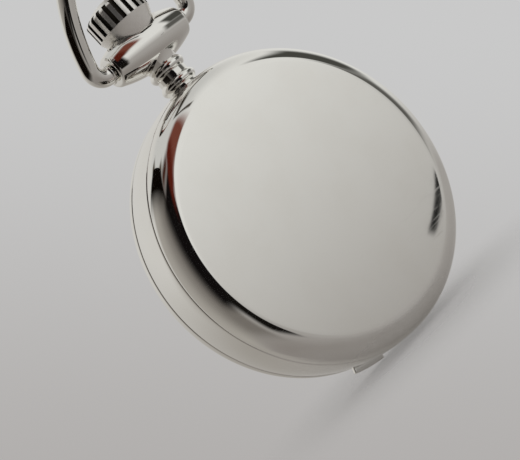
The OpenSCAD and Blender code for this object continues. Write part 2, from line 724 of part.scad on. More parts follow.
// Frame of the movement
module mainplate() {
    slot = clutch_d + 0.4;
    pinion_slot = 2 * tip_r(pinion_teeth, winding_mod) + 0.5;
    color("gold") stand() difference() {
        union() {
            rod(2 * plate_r, plate_back, plate_top);
            rod(2 * seat_r, flange_z, plate_top);
            slab(plate_top, dial_low) difference() {
                circle(r = seat_r);
                circle(r = seat_r - dial_seat_w);
            }
            slab(barrel_bridge_z, plate_back) intersection() {
                circle(r = plate_r - 0.4);
                translate([-4, pinion_y + pinion_w + 0.5]) square([8, far]);
            }
            at(minute_at) rod(0.6, plate_top, dial_low - 0.15);
            at(lever_pivot_at) rod(1.2, plate_top, keyless_z + keyless_t + 0.02);
            at(yoke_at) rod(1.2, plate_top, keyless_z + keyless_t + 0.02);
        }
        // Sunk seats for the barrel, the centre pinion and the setting wheel
        at(barrel_at) rod(2 * tip_r(barrel_teeth, barrel_mod) + 0.3, plate_back - 1,
                          plate_top - barrel_floor);
        at(barrel_at) rod(barrel_arbor_d + 2 * barrel_fit, 0, far);
        rod(2 * tip_r(centre_leaves, barrel_mod) + 0.3, plate_back - 1, plate_top - 1.25);
        rod(arbor_d + 2 * barrel_fit, -far, far);
        difference() {
            at(setting_at) rod(2 * tip_r(setting_teeth, motion_mod) + 0.3, plate_top - 0.85, far);
            at(setting_at) rod(1, plate_top - 1, dial_low - 0.3);
        }
        // Slots for the clutch and the winding pinion, and the stem's bores
        translate([-slot / 2, clutch_end - clutch_shift - 0.15, -far / 2])
            cube([slot, pinion_y - clutch_end + 0.6, far]);
        translate([-pinion_slot / 2, pinion_y - 0.15, -far / 2])
            cube([pinion_slot, pinion_w + 0.3, far]);
        along_pendant() translate([0, 0, pinion_y]) cylinder(r = stem_d / 2 + 0.05, h = far);
        along_pendant() translate([0, 0, clutch_end - clutch_shift - 1.7])
            cylinder(d = 0.9, h = 3);
        translate([-0.5, lever_pin_at.y - 0.5, 0]) cube([1, pull + 1, far]);
        // Lower bearings
        for (p = [third_at, escape_at, pallet_at, balance_at])
            at(p) rod(jewel_d, plate_back - 1, plate_back + jewel_t);
        at(fourth_at) rod(jewel_d, plate_back - 1, plate_back + jewel_t);
        at(fourth_at) rod(arbor_d + 0.2, -far, far);
        // Screw holes and dial feet
        for (p = concat(barrel_screws, train_screws, [cock_foot, pallet_foot]))
            at(p) rod(shank_d, plate_back - 2, plate_back + 1.2);
        for (p = case_screw_places) at(p) rod(shank_d, plate_back - 1, plate_back + 1.2);
        for (p = dial_feet) at(p) rod(0.9, plate_top - 1.3, plate_top + 1);
        at(lever_pivot_at) rod(0.5, plate_top, far);
        at(yoke_at) rod(0.5, plate_top, far);
    }
}
module barrel_bridge() {
    outline = [[-far, -2.4], [-1.9, -1.4], [-0.4, 1.7], [2.6, 2.4], [far, far * 0.9], [far, far],
               [-far, far]];
    window = 2 * tip_r(pinion_teeth, winding_mod) + 0.5;
    color("gold") stand() difference() {
        union() {
            slab(barrel_bridge_z, barrel_bridge_top) intersection() {
                circle(r = plate_r - 0.4);
                polygon(outline);
            }
            slab(plate_back, barrel_bridge_z) intersection() {
                difference() {
                    circle(r = plate_r - 0.4);
                    circle(r = plate_r - 0.4 - foot_w);
                    translate([-4.2, 0]) square([8.4, far]);
                }
                polygon(outline);
            }
        }
        rod(2.7, -far, far);
        at(barrel_at) rod(barrel_arbor_d + 2 * barrel_fit, -far, far);
        translate([-window / 2, pinion_y - 0.15, -far / 2]) cube([window, pinion_w + 0.3, far]);
        at(crown_wheel_at) rod(shank_d, -far, far);
        at(click_at) rod(shank_d, -far, far);
        for (p = barrel_screws) at(p) rod(shank_d, -far, far);
    }
}
module train_bridge() {
    color("gold") stand() difference() {
        union() {
            slab(plate_back, train_top) rotate(-76) intersection() {
                difference() {
                    circle(r = plate_r - 0.4);
                    circle(r = plate_r - 0.4 - foot_w);
                }
                polygon([[0, 0], [far, 0], [far, far], polar(2 * far, 82)]);
            }
            slab(train_z, train_top) {
                bar(centre_at, third_at, 2.2);
                bar(third_at, polar(plate_r - foot_w, -14), 3);
                bar(fourth_at, polar(plate_r - foot_w, -46), 2.8);
                bar(escape_at, polar(plate_r - foot_w, -70), 2.4);
            }
        }
        for (p = [centre_at, third_at, fourth_at, escape_at]) at(p) {
            rod(jewel_d, train_top - 1, train_top + jewel_t);
            rod(arbor_d + 0.2, -far, far);
        }
        for (p = train_screws) at(p) rod(shank_d, -far, far);
    }
}
module balance_cock() {
    stud = balance_at + polar(3.6, bearing(balance_at, cock_foot));
    color("gold") stand() difference() {
        union() {
            slab(cock_z, cock_top) bar(balance_at, cock_foot, 3.6);
            at(cock_foot) rod(3.6, plate_back, cock_top);
            at(stud) rod(0.5, cock_z, hairspring_z - hairspring_h / 2);
        }
        at(balance_at) {
            rod(jewel_d, cock_top - 1, cock_top + jewel_t);
            rod(arbor_d + 0.2, -far, far);
        }
        at(cock_foot) rod(shank_d, -far, far);
    }
}
module pallet_bridge() {
    color("gold") stand() difference() {
        union() {
            slab(pallet_z, pallet_top) bar(pallet_at, pallet_foot, pallet_jewel_d + 0.5);
            at(pallet_foot) rod(2, plate_back, pallet_top);
        }
        at(pallet_at) {
            rod(pallet_jewel_d, pallet_top - 1, pallet_top + jewel_t);
            rod(arbor_d + 0.1, -far, far);
        }
        at(pallet_foot) rod(shank_d, -far, far);
    }
}
module bridge_screws() {
    color("steelblue") stand() {
        for (p = barrel_screws) at(p) screw(barrel_bridge_top, 2);
        for (p = train_screws) at(p) screw(train_top, 4);
        at(cock_foot) screw(cock_top, 5);
        at(pallet_foot) screw(pallet_top, 2, 1.6);
    }
}
module jewel(z0, z1, hole, d = jewel_d) {
    difference() {
        rod(d, z0, z1);
        rod(hole + 2 * pivot_fit, z0 - 1, z1 + 1);
    }
}
module jewels() {
    color("crimson") stand() {
        for (p = [third_at, escape_at, pallet_at, balance_at])
            at(p) jewel(plate_back, plate_back + jewel_t, pivot_d);
        at(fourth_at) jewel(plate_back, plate_back + jewel_t, arbor_d);
        for (p = [centre_at, third_at, fourth_at, escape_at])
            at(p) jewel(train_top, train_top + jewel_t, pivot_d);
        at(pallet_at) jewel(pallet_top, pallet_top + jewel_t, pivot_d, pallet_jewel_d);
        at(balance_at) jewel(cock_top, cock_top + jewel_t, pivot_d);
    }
}
module dial() {
    color("ivory") stand() {
        difference() {
            rod(2 * dial_r, dial_low, dial_top);
            rod(2 * (arbor_d / 2 + 0.95), -far, far);
            at(fourth_at) rod(arbor_d + 0.2, -far, far);
            at(fourth_at) rod(seconds_dial_d, dial_top - seconds_dial_sink, far);
        }
        for (p = dial_feet) at(p) rod(0.8, plate_top - 1.2, dial_low);
    }
}

// Power
module barrel_drum() {
    drum_r = pitch_r(barrel_teeth, barrel_mod) - 2.2 * barrel_mod;
    color("goldenrod") stand() at(barrel_at) difference() {
        union() {
            slab(barrel_top, barrel_top + barrel_rim_t)
                gear(barrel_teeth, barrel_mod, barrel_lead);
            rod(2 * drum_r, barrel_top + barrel_rim_t, barrel_low);
        }
        rod(2 * (drum_r - barrel_wall), barrel_top + barrel_rim_t, far);
        rod(barrel_arbor_d + 2 * barrel_fit, -far, far);
    }
}
module barrel_cover() {
    drum_r = pitch_r(barrel_teeth, barrel_mod) - 2.2 * barrel_mod;
    color("goldenrod") stand() at(barrel_at) difference() {
        rod(2 * (drum_r - barrel_wall), barrel_low - barrel_lid_t, barrel_low);
        rod(barrel_arbor_d + 2 * barrel_fit, -far, far);
    }
}
module mainspring() {
    drum_r = pitch_r(barrel_teeth, barrel_mod) - 2.2 * barrel_mod;
    inner = barrel_arbor_d / 2 + 0.75 + mainspring_t / 2;
    outer = drum_r - barrel_wall - mainspring_t / 2 - skin;
    gap = (outer - inner) / mainspring_turns - mainspring_t;
    echo(mainspring_least_gap = gap);
    color("slategray") stand() at(barrel_at)
        slab(barrel_top + barrel_rim_t + face_gap, barrel_low - barrel_lid_t - face_gap)
            polygon(spiral(inner, outer, mainspring_turns, mainspring_t));
}
module barrel_arbor() {
    color("gainsboro") stand() at(barrel_at) difference() {
        union() {
            rod(barrel_arbor_d, plate_top - 0.02, winding_z);
            rod(barrel_arbor_d + 1.4, barrel_top + barrel_rim_t + face_gap,
                barrel_low - barrel_lid_t - face_gap);
            slab(winding_z, winding_top) square(barrel_arbor_d * 0.68, center = true);
        }
        rod(shank_d - 0.2, winding_top - 1, winding_z + 0.6);
    }
}
module ratchet_wheel() {
    color("silver") stand() at(barrel_at) slab(winding_z, winding_top) difference() {
        gear(ratchet_teeth, winding_mod, ratchet_lead);
        square(barrel_arbor_d * 0.68, center = true);
    }
}
module ratchet_screw() {
    color("steelblue") stand() at(barrel_at) difference() {
        union() {
            rod(3.6, winding_top, winding_top - screw_h);
            rod(shank_d - 0.2, winding_top, winding_z + 0.6);
        }
        translate([-far / 2, -0.15, winding_top - screw_h - 1]) cube([far, 0.3, 1.2]);
    }
}
module crown_wheel() {
    color("silver") stand() at(crown_wheel_at) slab(winding_z, winding_top) difference() {
        gear(crown_wheel_teeth, winding_mod, crown_wheel_lead);
        circle(d = crown_screw_d - 1.6);
    }
}
module crown_wheel_screw() {
    color("steelblue") stand() at(crown_wheel_at) difference() {
        union() {
            rod(crown_screw_d - 1.7, barrel_bridge_top, winding_top - face_gap);
            rod(crown_screw_d, winding_top - face_gap, winding_top - face_gap - screw_h);
            rod(shank_d, barrel_bridge_top, barrel_bridge_z - face_gap);
        }
        translate([-far / 2, -0.15, winding_top - face_gap - screw_h - 1]) cube([far, 0.3, 1.2]);
    }
}
module click() {
    nose = norm(click_at - barrel_at) - tip_r(ratchet_teeth, winding_mod) - 0.1;
    color("silver") stand() at(click_at) rotate(click_lead) difference() {
        slab(winding_z, winding_top) {
            circle(d = 2.6);
            polygon([[0, -1.3], [nose, 0.5], [nose - 0.5, 1.1], [0, 1.3]]);
            bar([0, 0], polar(2.6, 100), 0.9);
        }
        rod(shank_d, -far, far);
    }
}
module click_spring() {
    tail = click_at + polar(3.25, click_lead + 100);
    anchor = polar(plate_r - 4.5, 113);
    color("silver") stand() slab(winding_z, winding_z - 0.35) {
        translate(anchor) circle(d = 1.8);
        bar(anchor, tail, 0.3);
    }
}
module click_screw() {
    color("steelblue") stand() at(click_at) screw(winding_top, winding_t + 0.9, 2);
}

// Winding and setting
module couplers(lead, share) {
    for (i = [0 : 5]) rotate([0, 0, lead + 60 * i])
        rotate_extrude(angle = 60 * share) translate([clutch_d / 2 - 0.3, 0])
            square([0.3, coupling_h]);
}
module winding_pinion() {
    color("silver") stand() difference() {
        along_pendant() translate([0, 0, pinion_y]) {
            slab(0, pinion_w) gear(pinion_teeth, winding_mod, 90);
            translate([0, 0, -coupling_h]) couplers(0, 0.4);
        }
        along_pendant() translate([0, 0, pinion_y - 1])
            cylinder(r = stem_d / 2 + pin_fit, h = pinion_w + 2);
    }
}
module clutch_wheel() {
    color("silver") stand() difference() {
        along_pendant() translate([0, 0, clutch_end]) {
            rod(clutch_d, 0, clutch_w - coupling_h - face_gap);
            translate([0, 0, clutch_w - coupling_h - face_gap]) couplers(30, 0.4);
        }
        translate([-square_w / 2 - square_fit, clutch_end - 1, -square_w / 2 - square_fit])
            cube([square_w + 2 * square_fit, clutch_w + 2, square_w + 2 * square_fit]);
        along_pendant() translate([0, 0, clutch_end + 1]) difference() {
            cylinder(d = 2 * clutch_d, h = 0.7);
            cylinder(d = clutch_d - 0.6, h = 0.7);
        }
        for (i = [0 : 11]) along_pendant() rotate([0, 0, 30 * i])
            translate([clutch_d / 2, 0, clutch_end - 1]) cylinder(d = 0.26, h = 1.7);
    }
}
module setting_lever() {
    color("silver") stand() {
        slab(keyless_z, keyless_z + keyless_t) difference() {
            bar(lever_pin_at, lever_pivot_at, 1.7);
            translate(lever_pivot_at) circle(d = 1.2 + 2 * pin_fit);
        }
        at(lever_pin_at) rod(0.5, stem_d / 2 - 0.2, keyless_z);
    }
}
module keyless_screw(p) {
    color("steelblue") stand() at(p) {
        rod(1.7, keyless_z + keyless_t + face_gap, keyless_z + keyless_t + 0.35);
        rod(0.5, plate_top, keyless_z + keyless_t + face_gap);
    }
}
module setting_lever_screw() { keyless_screw(lever_pivot_at); }
module yoke() {
    finger_x = -clutch_d / 2 + 0.02;
    color("silver") stand() {
        slab(keyless_z, keyless_z + keyless_t) difference() {
            bar([finger_x - 0.2, yoke_at.y], yoke_at, 1.7);
            translate(yoke_at) circle(d = 1.2 + 2 * pin_fit);
        }
        translate([finger_x - 0.05, yoke_at.y - 0.2, -0.3])
            cube([0.22, 0.4, keyless_z + 0.3]);
    }
}
module yoke_screw() { keyless_screw(yoke_at); }
module setting_wheel() {
    color("goldenrod") stand() at(setting_at) slab(plate_top - 0.8, plate_top + 0.4) difference() {
        gear(setting_teeth, motion_mod, setting_lead);
        circle(d = 1 + 2 * pin_fit);
    }
}

// Going train
module centre_wheel() {
    color("goldenrod") stand() {
        slab(centre_z - wheel_t, centre_z) wheel(centre_teeth, centre_mod, centre_lead, 5);
        slab(centre_z, barrel_top + barrel_rim_t + 0.1)
            gear(centre_leaves, barrel_mod, centre_pinion_lead);
        rod(arbor_d, train_z + 0.08, minute_z - 0.1);
        rod(pivot_d, train_top + 0.05, train_z + 0.2);
    }
}
module third_wheel() {
    color("goldenrod") stand() at(third_at) {
        slab(third_z - wheel_t, third_z) wheel(third_teeth, third_mod, third_lead, 5);
        slab(third_z, plate_back - 0.1) gear(third_leaves, centre_mod, third_pinion_lead);
        arbor(plate_back, train_z);
    }
}
module fourth_wheel() {
    color("goldenrod") stand() at(fourth_at) {
        slab(fourth_z - wheel_t, fourth_z) wheel(fourth_teeth, fourth_mod, fourth_lead, 5);
        slab(fourth_z, third_z + 0.1) gear(fourth_leaves, third_mod, fourth_pinion_lead);
        rod(arbor_d, train_z + 0.08, seconds_z + hand_t);
        rod(pivot_d, train_top + 0.05, train_z + 0.2);
    }
}
module escape_wheel() {
    tip = escape_d / 2;
    teeth = [for (i = [0 : escape_teeth - 1], c = [[0, 0.78], [6, 1], [8.5, 1], [11, 0.78]])
                polar(tip * c[1], 360 / escape_teeth * i + c[0])];
    color("lightsteelblue") stand() at(escape_at) {
        slab(lever_z - lever_t, lever_z) {
            difference() {
                polygon(teeth);
                circle(r = tip * 0.6);
            }
            for (a = [0 : 3]) rotate(90 * a) translate([0, -0.2]) square([tip * 0.62, 0.4]);
            circle(d = 2 * arbor_d);
        }
        slab(fourth_z - wheel_t - 0.1, fourth_z + 0.1)
            gear(escape_leaves, fourth_mod, escape_pinion_lead);
        rod(arbor_d * 0.8, plate_back - 0.08, train_z + 0.08);
        rod(pivot_d, plate_back + jewel_t - 0.05, train_top + 0.05);
    }
}

// Escapement
stone_r = escape_d / 2 + stone_gap;
stone_places = [for (s = [-1, 1]) escape_at + polar(stone_r + 0.35, balance_angle + s * 36)];
module stone_outlines() {
    for (p = stone_places)
        translate(p) rotate(bearing(escape_at, p)) square([0.7, 0.34], center = true);
}
module pallet_fork() {
    horn = balance_at - polar(impulse_r + 0.6, balance_angle);
    color("lightsteelblue") stand() {
        slab(lever_z - lever_t, lever_z) difference() {
            union() {
                bar(pallet_at, horn, 0.6);
                translate(horn) circle(d = 1.1);
                translate(pallet_at) circle(d = 1.3);
                for (p = stone_places) bar(pallet_at, p + 0.25 * (p - escape_at) / norm(p - escape_at), 0.8);
            }
            stone_outlines();
            translate(balance_at) circle(r = impulse_r + 0.3);
        }
        at(pallet_at) {
            rod(0.6, plate_back - 0.08, pallet_z + 0.08);
            rod(pivot_d, plate_back + jewel_t - 0.05, pallet_top + 0.05);
        }
    }
}
module pallet_stones() {
    color("crimson") stand() slab(lever_z - lever_t, lever_z) stone_outlines();
}
module balance_wheel() {
    rim = balance_d / 2 - 0.4;
    color("goldenrod") stand() at(balance_at) difference() {
        union() {
            slab(balance_top, balance_z) difference() {
                circle(r = rim);
                circle(r = rim - 0.6);
            }
            slab(balance_z - 0.3, balance_z) {
                bar([-rim + 0.3, 0], [rim - 0.3, 0], 0.7);
                circle(d = 2);
            }
            for (i = [0 : balance_screws - 1])
                rotate([0, 0, 360 / balance_screws * (i + 0.5)])
                    translate([rim - 0.2, 0, (balance_z + balance_top) / 2]) rotate([0, 90, 0])
                        cylinder(d = balance_t - 0.15, h = 0.6);
        }
        rod(arbor_d, -far, far);
    }
}
module balance_staff() {
    color("gainsboro") stand() at(balance_at) {
        rod(arbor_d, plate_back - 0.08, cock_z + 0.08);
        rod(pivot_d, plate_back + jewel_t - 0.05, cock_top + 0.05);
    }
}
module roller() {
    color("lightsteelblue") stand() at(balance_at) {
        difference() {
            rod(roller_d, roller_z, roller_z - roller_t);
            rod(arbor_d, -far, far);
        }
        rotate([0, 0, balance_angle + 180]) translate([impulse_r, 0, 0])
            rod(0.3, roller_z, lever_z - 0.02);
    }
}
module hairspring() {
    inner = arbor_d / 2 + 0.45;
    outer = 3.25;
    gap = (outer - inner) / hairspring_turns - hairspring_t;
    echo(hairspring_least_gap = gap);
    color("steelblue") stand() at(balance_at) difference() {
        union() {
            rod(2 * inner - 0.3, hairspring_z, hairspring_z - hairspring_h);
            rotate([0, 0, bearing(balance_at, cock_foot) - 360 * hairspring_turns])
                slab(hairspring_z, hairspring_z - hairspring_h) {
                    polygon(spiral(inner, outer, hairspring_turns, hairspring_t));
                    translate([inner - 0.3, 0.05]) square([0.4, 0.2]);
                }
        }
        rod(arbor_d, -far, far);
    }
}
module regulator() {
    color("silver") stand() at(balance_at) slab(cock_top, cock_top - regulator_t) {
        difference() {
            union() {
                circle(d = jewel_d + 2.2);
                rotate(bearing(balance_at, cock_foot)) bar([0, 0], [4.6, 0], 0.5);
            }
            circle(d = jewel_d + 0.3);
        }
    }
}

// Motion works and hands
module cannon_pinion() {
    color("silver") stand() difference() {
        union() {
            slab(plate_top + face_gap, plate_top + 0.4)
                gear(cannon_leaves, motion_mod, cannon_lead);
            rod(arbor_d + 0.7, plate_top + face_gap, minute_z + hand_t);
        }
        rod(arbor_d + 2 * pipe_fit, -far, far);
    }
}
module minute_wheel() {
    color("goldenrod") stand() at(minute_at) difference() {
        union() {
            slab(plate_top + 0.08, plate_top + 0.4)
                gear(minute_teeth, motion_mod, minute_lead);
            slab(plate_top + 0.4, plate_top + 0.8)
                gear(minute_leaves, hour_mod, minute_pinion_lead);
        }
        rod(0.6 + 2 * pin_fit, -far, far);
    }
}
module hour_wheel() {
    color("goldenrod") stand() difference() {
        union() {
            slab(plate_top + 0.46, plate_top + 0.76) gear(hour_teeth, hour_mod, hour_lead);
            rod(arbor_d + 1.5, plate_top + 0.46, hour_z + hand_t);
        }
        rod(arbor_d + 0.7 + 2 * pipe_fit, -far, far);
    }
}
// A tapering hand that points to 12, with a round hub
module hand(z, len, hub, hole, width) {
    translate([0, 0, z]) difference() {
        union() {
            cylinder(d = hub, h = hand_t);
            linear_extrude(hand_t)
                polygon([[-width / 2, 0], [-width, len * 0.62], [0, len], [width, len * 0.62],
                         [width / 2, 0], [width * 0.7, -hub * 0.7], [-width * 0.7, -hub * 0.7]]);
        }
        rod(hole, -1, 1);
    }
}
module hour_hand() {
    color("midnightblue") stand() rotate([0, 0, 54])
        hand(hour_z, hour_len, arbor_d + 2.4, arbor_d + 1.5, 1);
}
module minute_hand() {
    color("midnightblue") stand() rotate([0, 0, -54])
        hand(minute_z, minute_len, arbor_d + 1.6, arbor_d + 0.7, 0.8);
}
module seconds_hand() {
    color("midnightblue") stand() at(fourth_at) rotate([0, 0, 150])
        hand(seconds_z, seconds_len, arbor_d + 0.7, arbor_d, 0.22);
}

mid_case();
pendant();
back_cover();
back_hinge_pin();
bezel();
bezel_hinge_pin();
crystal();
bow();
crown();
winding_stem();
case_screws();
mainplate();
barrel_bridge();
train_bridge();
balance_cock();
pallet_bridge();
bridge_screws();
jewels();
dial();
barrel_drum();
barrel_cover();
mainspring();
barrel_arbor();
ratchet_wheel();
ratchet_screw();
crown_wheel();
crown_wheel_screw();
click();
click_spring();
click_screw();
winding_pinion();
clutch_wheel();
setting_lever();
setting_lever_screw();
yoke();
yoke_screw();
setting_wheel();
centre_wheel();
third_wheel();
fourth_wheel();
escape_wheel();
pallet_fork();
pallet_stones();
balance_wheel();
balance_staff();
roller();
hairspring();
regulator();
cannon_pinion();
minute_wheel();
hour_wheel();
hour_hand();
minute_hand();
seconds_hand();
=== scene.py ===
# Open face pocket watch: a polished case with its pendant and bow, an enamel dial and a gilt movement
import json
import math

import bmesh
import bpy
from mathutils import Matrix, Vector

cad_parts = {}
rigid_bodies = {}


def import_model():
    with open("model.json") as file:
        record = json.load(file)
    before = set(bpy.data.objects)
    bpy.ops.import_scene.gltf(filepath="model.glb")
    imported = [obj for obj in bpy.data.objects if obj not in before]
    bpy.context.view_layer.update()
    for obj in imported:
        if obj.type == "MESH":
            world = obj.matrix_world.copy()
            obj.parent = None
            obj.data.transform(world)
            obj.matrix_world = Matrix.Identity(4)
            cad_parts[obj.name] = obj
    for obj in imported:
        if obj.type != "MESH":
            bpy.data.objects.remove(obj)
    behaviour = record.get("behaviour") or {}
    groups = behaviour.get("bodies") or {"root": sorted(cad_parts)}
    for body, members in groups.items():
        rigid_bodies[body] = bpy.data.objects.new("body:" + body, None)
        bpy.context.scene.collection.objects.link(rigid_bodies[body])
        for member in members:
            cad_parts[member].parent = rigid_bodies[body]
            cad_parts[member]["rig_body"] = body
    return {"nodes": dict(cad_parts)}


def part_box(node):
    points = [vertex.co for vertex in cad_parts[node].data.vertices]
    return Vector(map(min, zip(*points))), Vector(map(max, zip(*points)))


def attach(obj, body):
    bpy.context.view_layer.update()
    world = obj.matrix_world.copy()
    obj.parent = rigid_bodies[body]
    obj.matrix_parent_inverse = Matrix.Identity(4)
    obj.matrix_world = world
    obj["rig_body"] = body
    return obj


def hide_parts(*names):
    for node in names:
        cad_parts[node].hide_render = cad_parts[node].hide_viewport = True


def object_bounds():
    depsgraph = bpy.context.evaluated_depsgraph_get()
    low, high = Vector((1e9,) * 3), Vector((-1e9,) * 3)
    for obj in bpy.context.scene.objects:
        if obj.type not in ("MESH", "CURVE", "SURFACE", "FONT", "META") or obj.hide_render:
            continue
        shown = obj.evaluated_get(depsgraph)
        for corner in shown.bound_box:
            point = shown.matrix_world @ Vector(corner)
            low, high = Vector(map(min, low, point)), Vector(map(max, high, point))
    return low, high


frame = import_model()
cadBounds = [list(corner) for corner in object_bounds()]
cadNodes = frame["nodes"]
mm = 0.001
fullTurn = 2 * math.pi

# The watch is laid out as on the bench, in mm from the case's middle:
# x to 3 o'clock, y to 12 o'clock, z out of the dial
dialLow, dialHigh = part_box("dial")
bandHalf = 3.15
caseMid = Vector(((dialLow.x + dialHigh.x) / 2, dialLow.y + bandHalf * mm, (dialLow.z + dialHigh.z) / 2))
bowPivot = 31.2


def bench(x, y, z):
    return caseMid + Vector((x, -z, y)) * mm


# Each lathe has its axis, a point on it, and where a (radius, along) point of its profile stands
lathes = {"dial": (Vector((0, 1, 0)), bench(0, 0, 0), lambda r, along: bench(r, 0, along)),
          "stem": (Vector((0, 0, 1)), bench(0, 0, 0), lambda r, along: bench(r, along, 0)),
          "bow": (Vector((1, 0, 0)), bench(0, bowPivot, 0), lambda r, along: bench(along, bowPivot + r, 0))}


# Points from one end to the other of a shallow bulge, out to the right of the way
def bulge(start, end, out, count):
    a, b = Vector(start), Vector(end)
    along = b - a
    side = Vector((along.y, -along.x)).normalized() * out
    return [a + along * t + side * 4 * t * (1 - t) for t in (i / count for i in range(count + 1))]


def domed(radius, edge, rise, count):
    return [Vector((radius * i / count, edge + rise * (1 - (i / count) ** 2))) for i in range(count + 1)]


# Draws a profile of (radius, along) points, rounds the corners that are asked for and turns it on a lathe
def turned(bm, points, lathe, corners=(), closed=False, steps=192):
    axis, centre, place = lathes[lathe]
    verts = [bm.verts.new(place(*point)) for point in points]
    for pair in zip(verts, verts[1:]):
        bm.edges.new(pair)
    if closed:
        bm.edges.new((verts[-1], verts[0]))
    for index, radius in corners:
        bmesh.ops.bevel(bm, geom=[verts[index]], offset=radius * mm, offset_type="OFFSET", segments=5,
                        profile=0.5, affect="VERTICES", material=-1, clamp_overlap=True)
    line = [v for v in bm.verts if not v.link_faces] + [e for e in bm.edges if not e.link_faces]
    bmesh.ops.spin(bm, geom=line, cent=centre, axis=axis, dvec=(0, 0, 0), angle=fullTurn, steps=steps,
                   use_merge=True)
    bmesh.ops.remove_doubles(bm, verts=bm.verts[:], dist=2e-7)


def rod(bm, start, end, diameter, segments=32):
    a, b = bench(*start), bench(*end)
    along = b - a
    turn = along.to_track_quat("Z", "Y").to_matrix().to_4x4()
    bmesh.ops.create_cone(bm, cap_ends=True, segments=segments, radius1=diameter / 2 * mm,
                          radius2=diameter / 2 * mm, depth=along.length,
                          matrix=Matrix.Translation((a + b) / 2) @ turn)


def block(bm, low, high):
    a, b = bench(*low), bench(*high)
    size = Vector(abs(b[i] - a[i]) for i in range(3))
    bmesh.ops.create_cube(bm, size=1, matrix=Matrix.Translation((a + b) / 2) @ Matrix.Diagonal((*size, 1)))


def smoothed(mesh, sharp):
    mesh.polygons.foreach_set("use_smooth", [True] * len(mesh.polygons))
    mesh.set_sharp_from_angle(angle=math.radians(sharp))


def toObject(bm, name, sharp=32):
    bmesh.ops.recalc_face_normals(bm, faces=bm.faces[:])
    mesh = bpy.data.meshes.new(name)
    bm.to_mesh(mesh)
    bm.free()
    smoothed(mesh, sharp)
    piece = bpy.data.objects.new(name, mesh)
    bpy.context.scene.collection.objects.link(piece)
    return piece


def fit(piece, body, material, slot, *nodes):
    if material is not None:
        piece.data.materials.append(material)
    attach(piece, body)
    if nodes:
        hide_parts(*nodes)


# Cuts one mesh out of another, or joins the two
def carve(piece, tool, operation="DIFFERENCE"):
    cut = piece.modifiers.new("cut", "BOOLEAN")
    cut.operation = operation
    cut.solver = "EXACT"
    cut.use_self = True
    if tool.data.materials:
        cut.material_mode = "TRANSFER"
    cut.object = tool
    graph = bpy.context.evaluated_depsgraph_get()
    mesh = bpy.data.meshes.new_from_object(piece.evaluated_get(graph))
    piece.modifiers.clear()
    piece.data = mesh
    bpy.data.objects.remove(tool)
    smoothed(mesh, 32)
    return piece


# A copy of a CAD solid with its sharp edges broken
def edged(node, name, material, slot, edge, segments=2, least=35):
    bm = bmesh.new()
    bm.from_mesh(cadNodes[node].data)
    bmesh.ops.remove_doubles(bm, verts=bm.verts[:], dist=2e-7)
    bmesh.ops.dissolve_limit(bm, angle_limit=math.radians(0.5), verts=bm.verts[:], edges=bm.edges[:])
    breakEdges(bm, edge, segments, least)
    piece = toObject(bm, name, 46)
    even = piece.modifiers.new("even", "WEIGHTED_NORMAL")
    even.weight = 100
    even.keep_sharp = True
    fit(piece, cadNodes[node]["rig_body"], material, slot, node)


def breakEdges(bm, edge, segments, least):
    rims = [e for e in bm.edges if e.is_manifold and e.calc_face_angle() > math.radians(least)]
    bmesh.ops.bevel(bm, geom=rims, offset=edge * mm, offset_type="OFFSET", segments=segments, profile=0.5,
                    affect="EDGES", material=-1, clamp_overlap=True)


print("stage: camera and studio")
view = {"eye": (104.26, 163.7, 5.29), "right": (-0.625, 0.381, -0.6816), "up": (-0.5957, 0.332, 0.7318),
        "lens": 96.92, "sensor": 36}
viewUp = Vector(view["up"]).normalized()
viewRight = Vector(view["right"])
viewRight = (viewRight - viewUp * viewRight.dot(viewUp)).normalized()
viewBack = viewRight.cross(viewUp)
lens = bpy.data.cameras.new("camera")
lens.lens = view["lens"]
lens.sensor_width = view["sensor"]
lens.sensor_fit = "HORIZONTAL"
lens.clip_start = 0.002
lens.clip_end = 20
camera = bpy.data.objects.new("camera", lens)
bpy.context.scene.collection.objects.link(camera)
spot = bench(0, 0, -bandHalf) + Vector(view["eye"]) * mm
turn = Matrix((viewRight, viewUp, viewBack)).transposed().to_4x4()
camera.matrix_world = Matrix.Translation(spot) @ turn
bpy.context.scene.camera = camera
bpy.context.scene.view_settings.view_transform = "Standard"


class Tree:
    # A small helper to place nodes and wire them
    def __init__(self, tree):
        self.tree = tree

    def add(self, kind, **settings):
        node = self.tree.nodes.new(kind)
        for name, value in settings.items():
            setattr(node, name, value)
        return node

    def wire(self, source, target):
        self.tree.links.new(source, target)

    def put(self, node, socket, value):
        if isinstance(value, bpy.types.NodeSocket):
            self.wire(value, node.inputs[socket])
        else:
            node.inputs[socket].default_value = value

    def math(self, operation, a, b=0.0, clamp=False):
        node = self.add("ShaderNodeMath", operation=operation, use_clamp=clamp)
        self.put(node, 0, a)
        self.put(node, 1, b)
        return node.outputs[0]

    def ramp(self, value, low, high, outLow=0.0, outHigh=1.0, smooth=True):
        node = self.add("ShaderNodeMapRange", interpolation_type="SMOOTHSTEP" if smooth else "LINEAR")
        self.put(node, "Value", value)
        self.put(node, "From Min", low)
        self.put(node, "From Max", high)
        self.put(node, "To Min", outLow)
        self.put(node, "To Max", outHigh)
        return node.outputs["Result"]

    def mix(self, factor, a, b):
        node = self.add("ShaderNodeMix", data_type="RGBA")
        self.put(node, 0, factor)
        self.put(node, 6, a)
        self.put(node, 7, b)
        return node.outputs[2]

    def towards(self, direction, point):
        node = self.add("ShaderNodeVectorMath", operation="DOT_PRODUCT")
        self.wire(direction, node.inputs[0])
        node.inputs[1].default_value = Vector(point).normalized()
        return node.outputs["Value"]


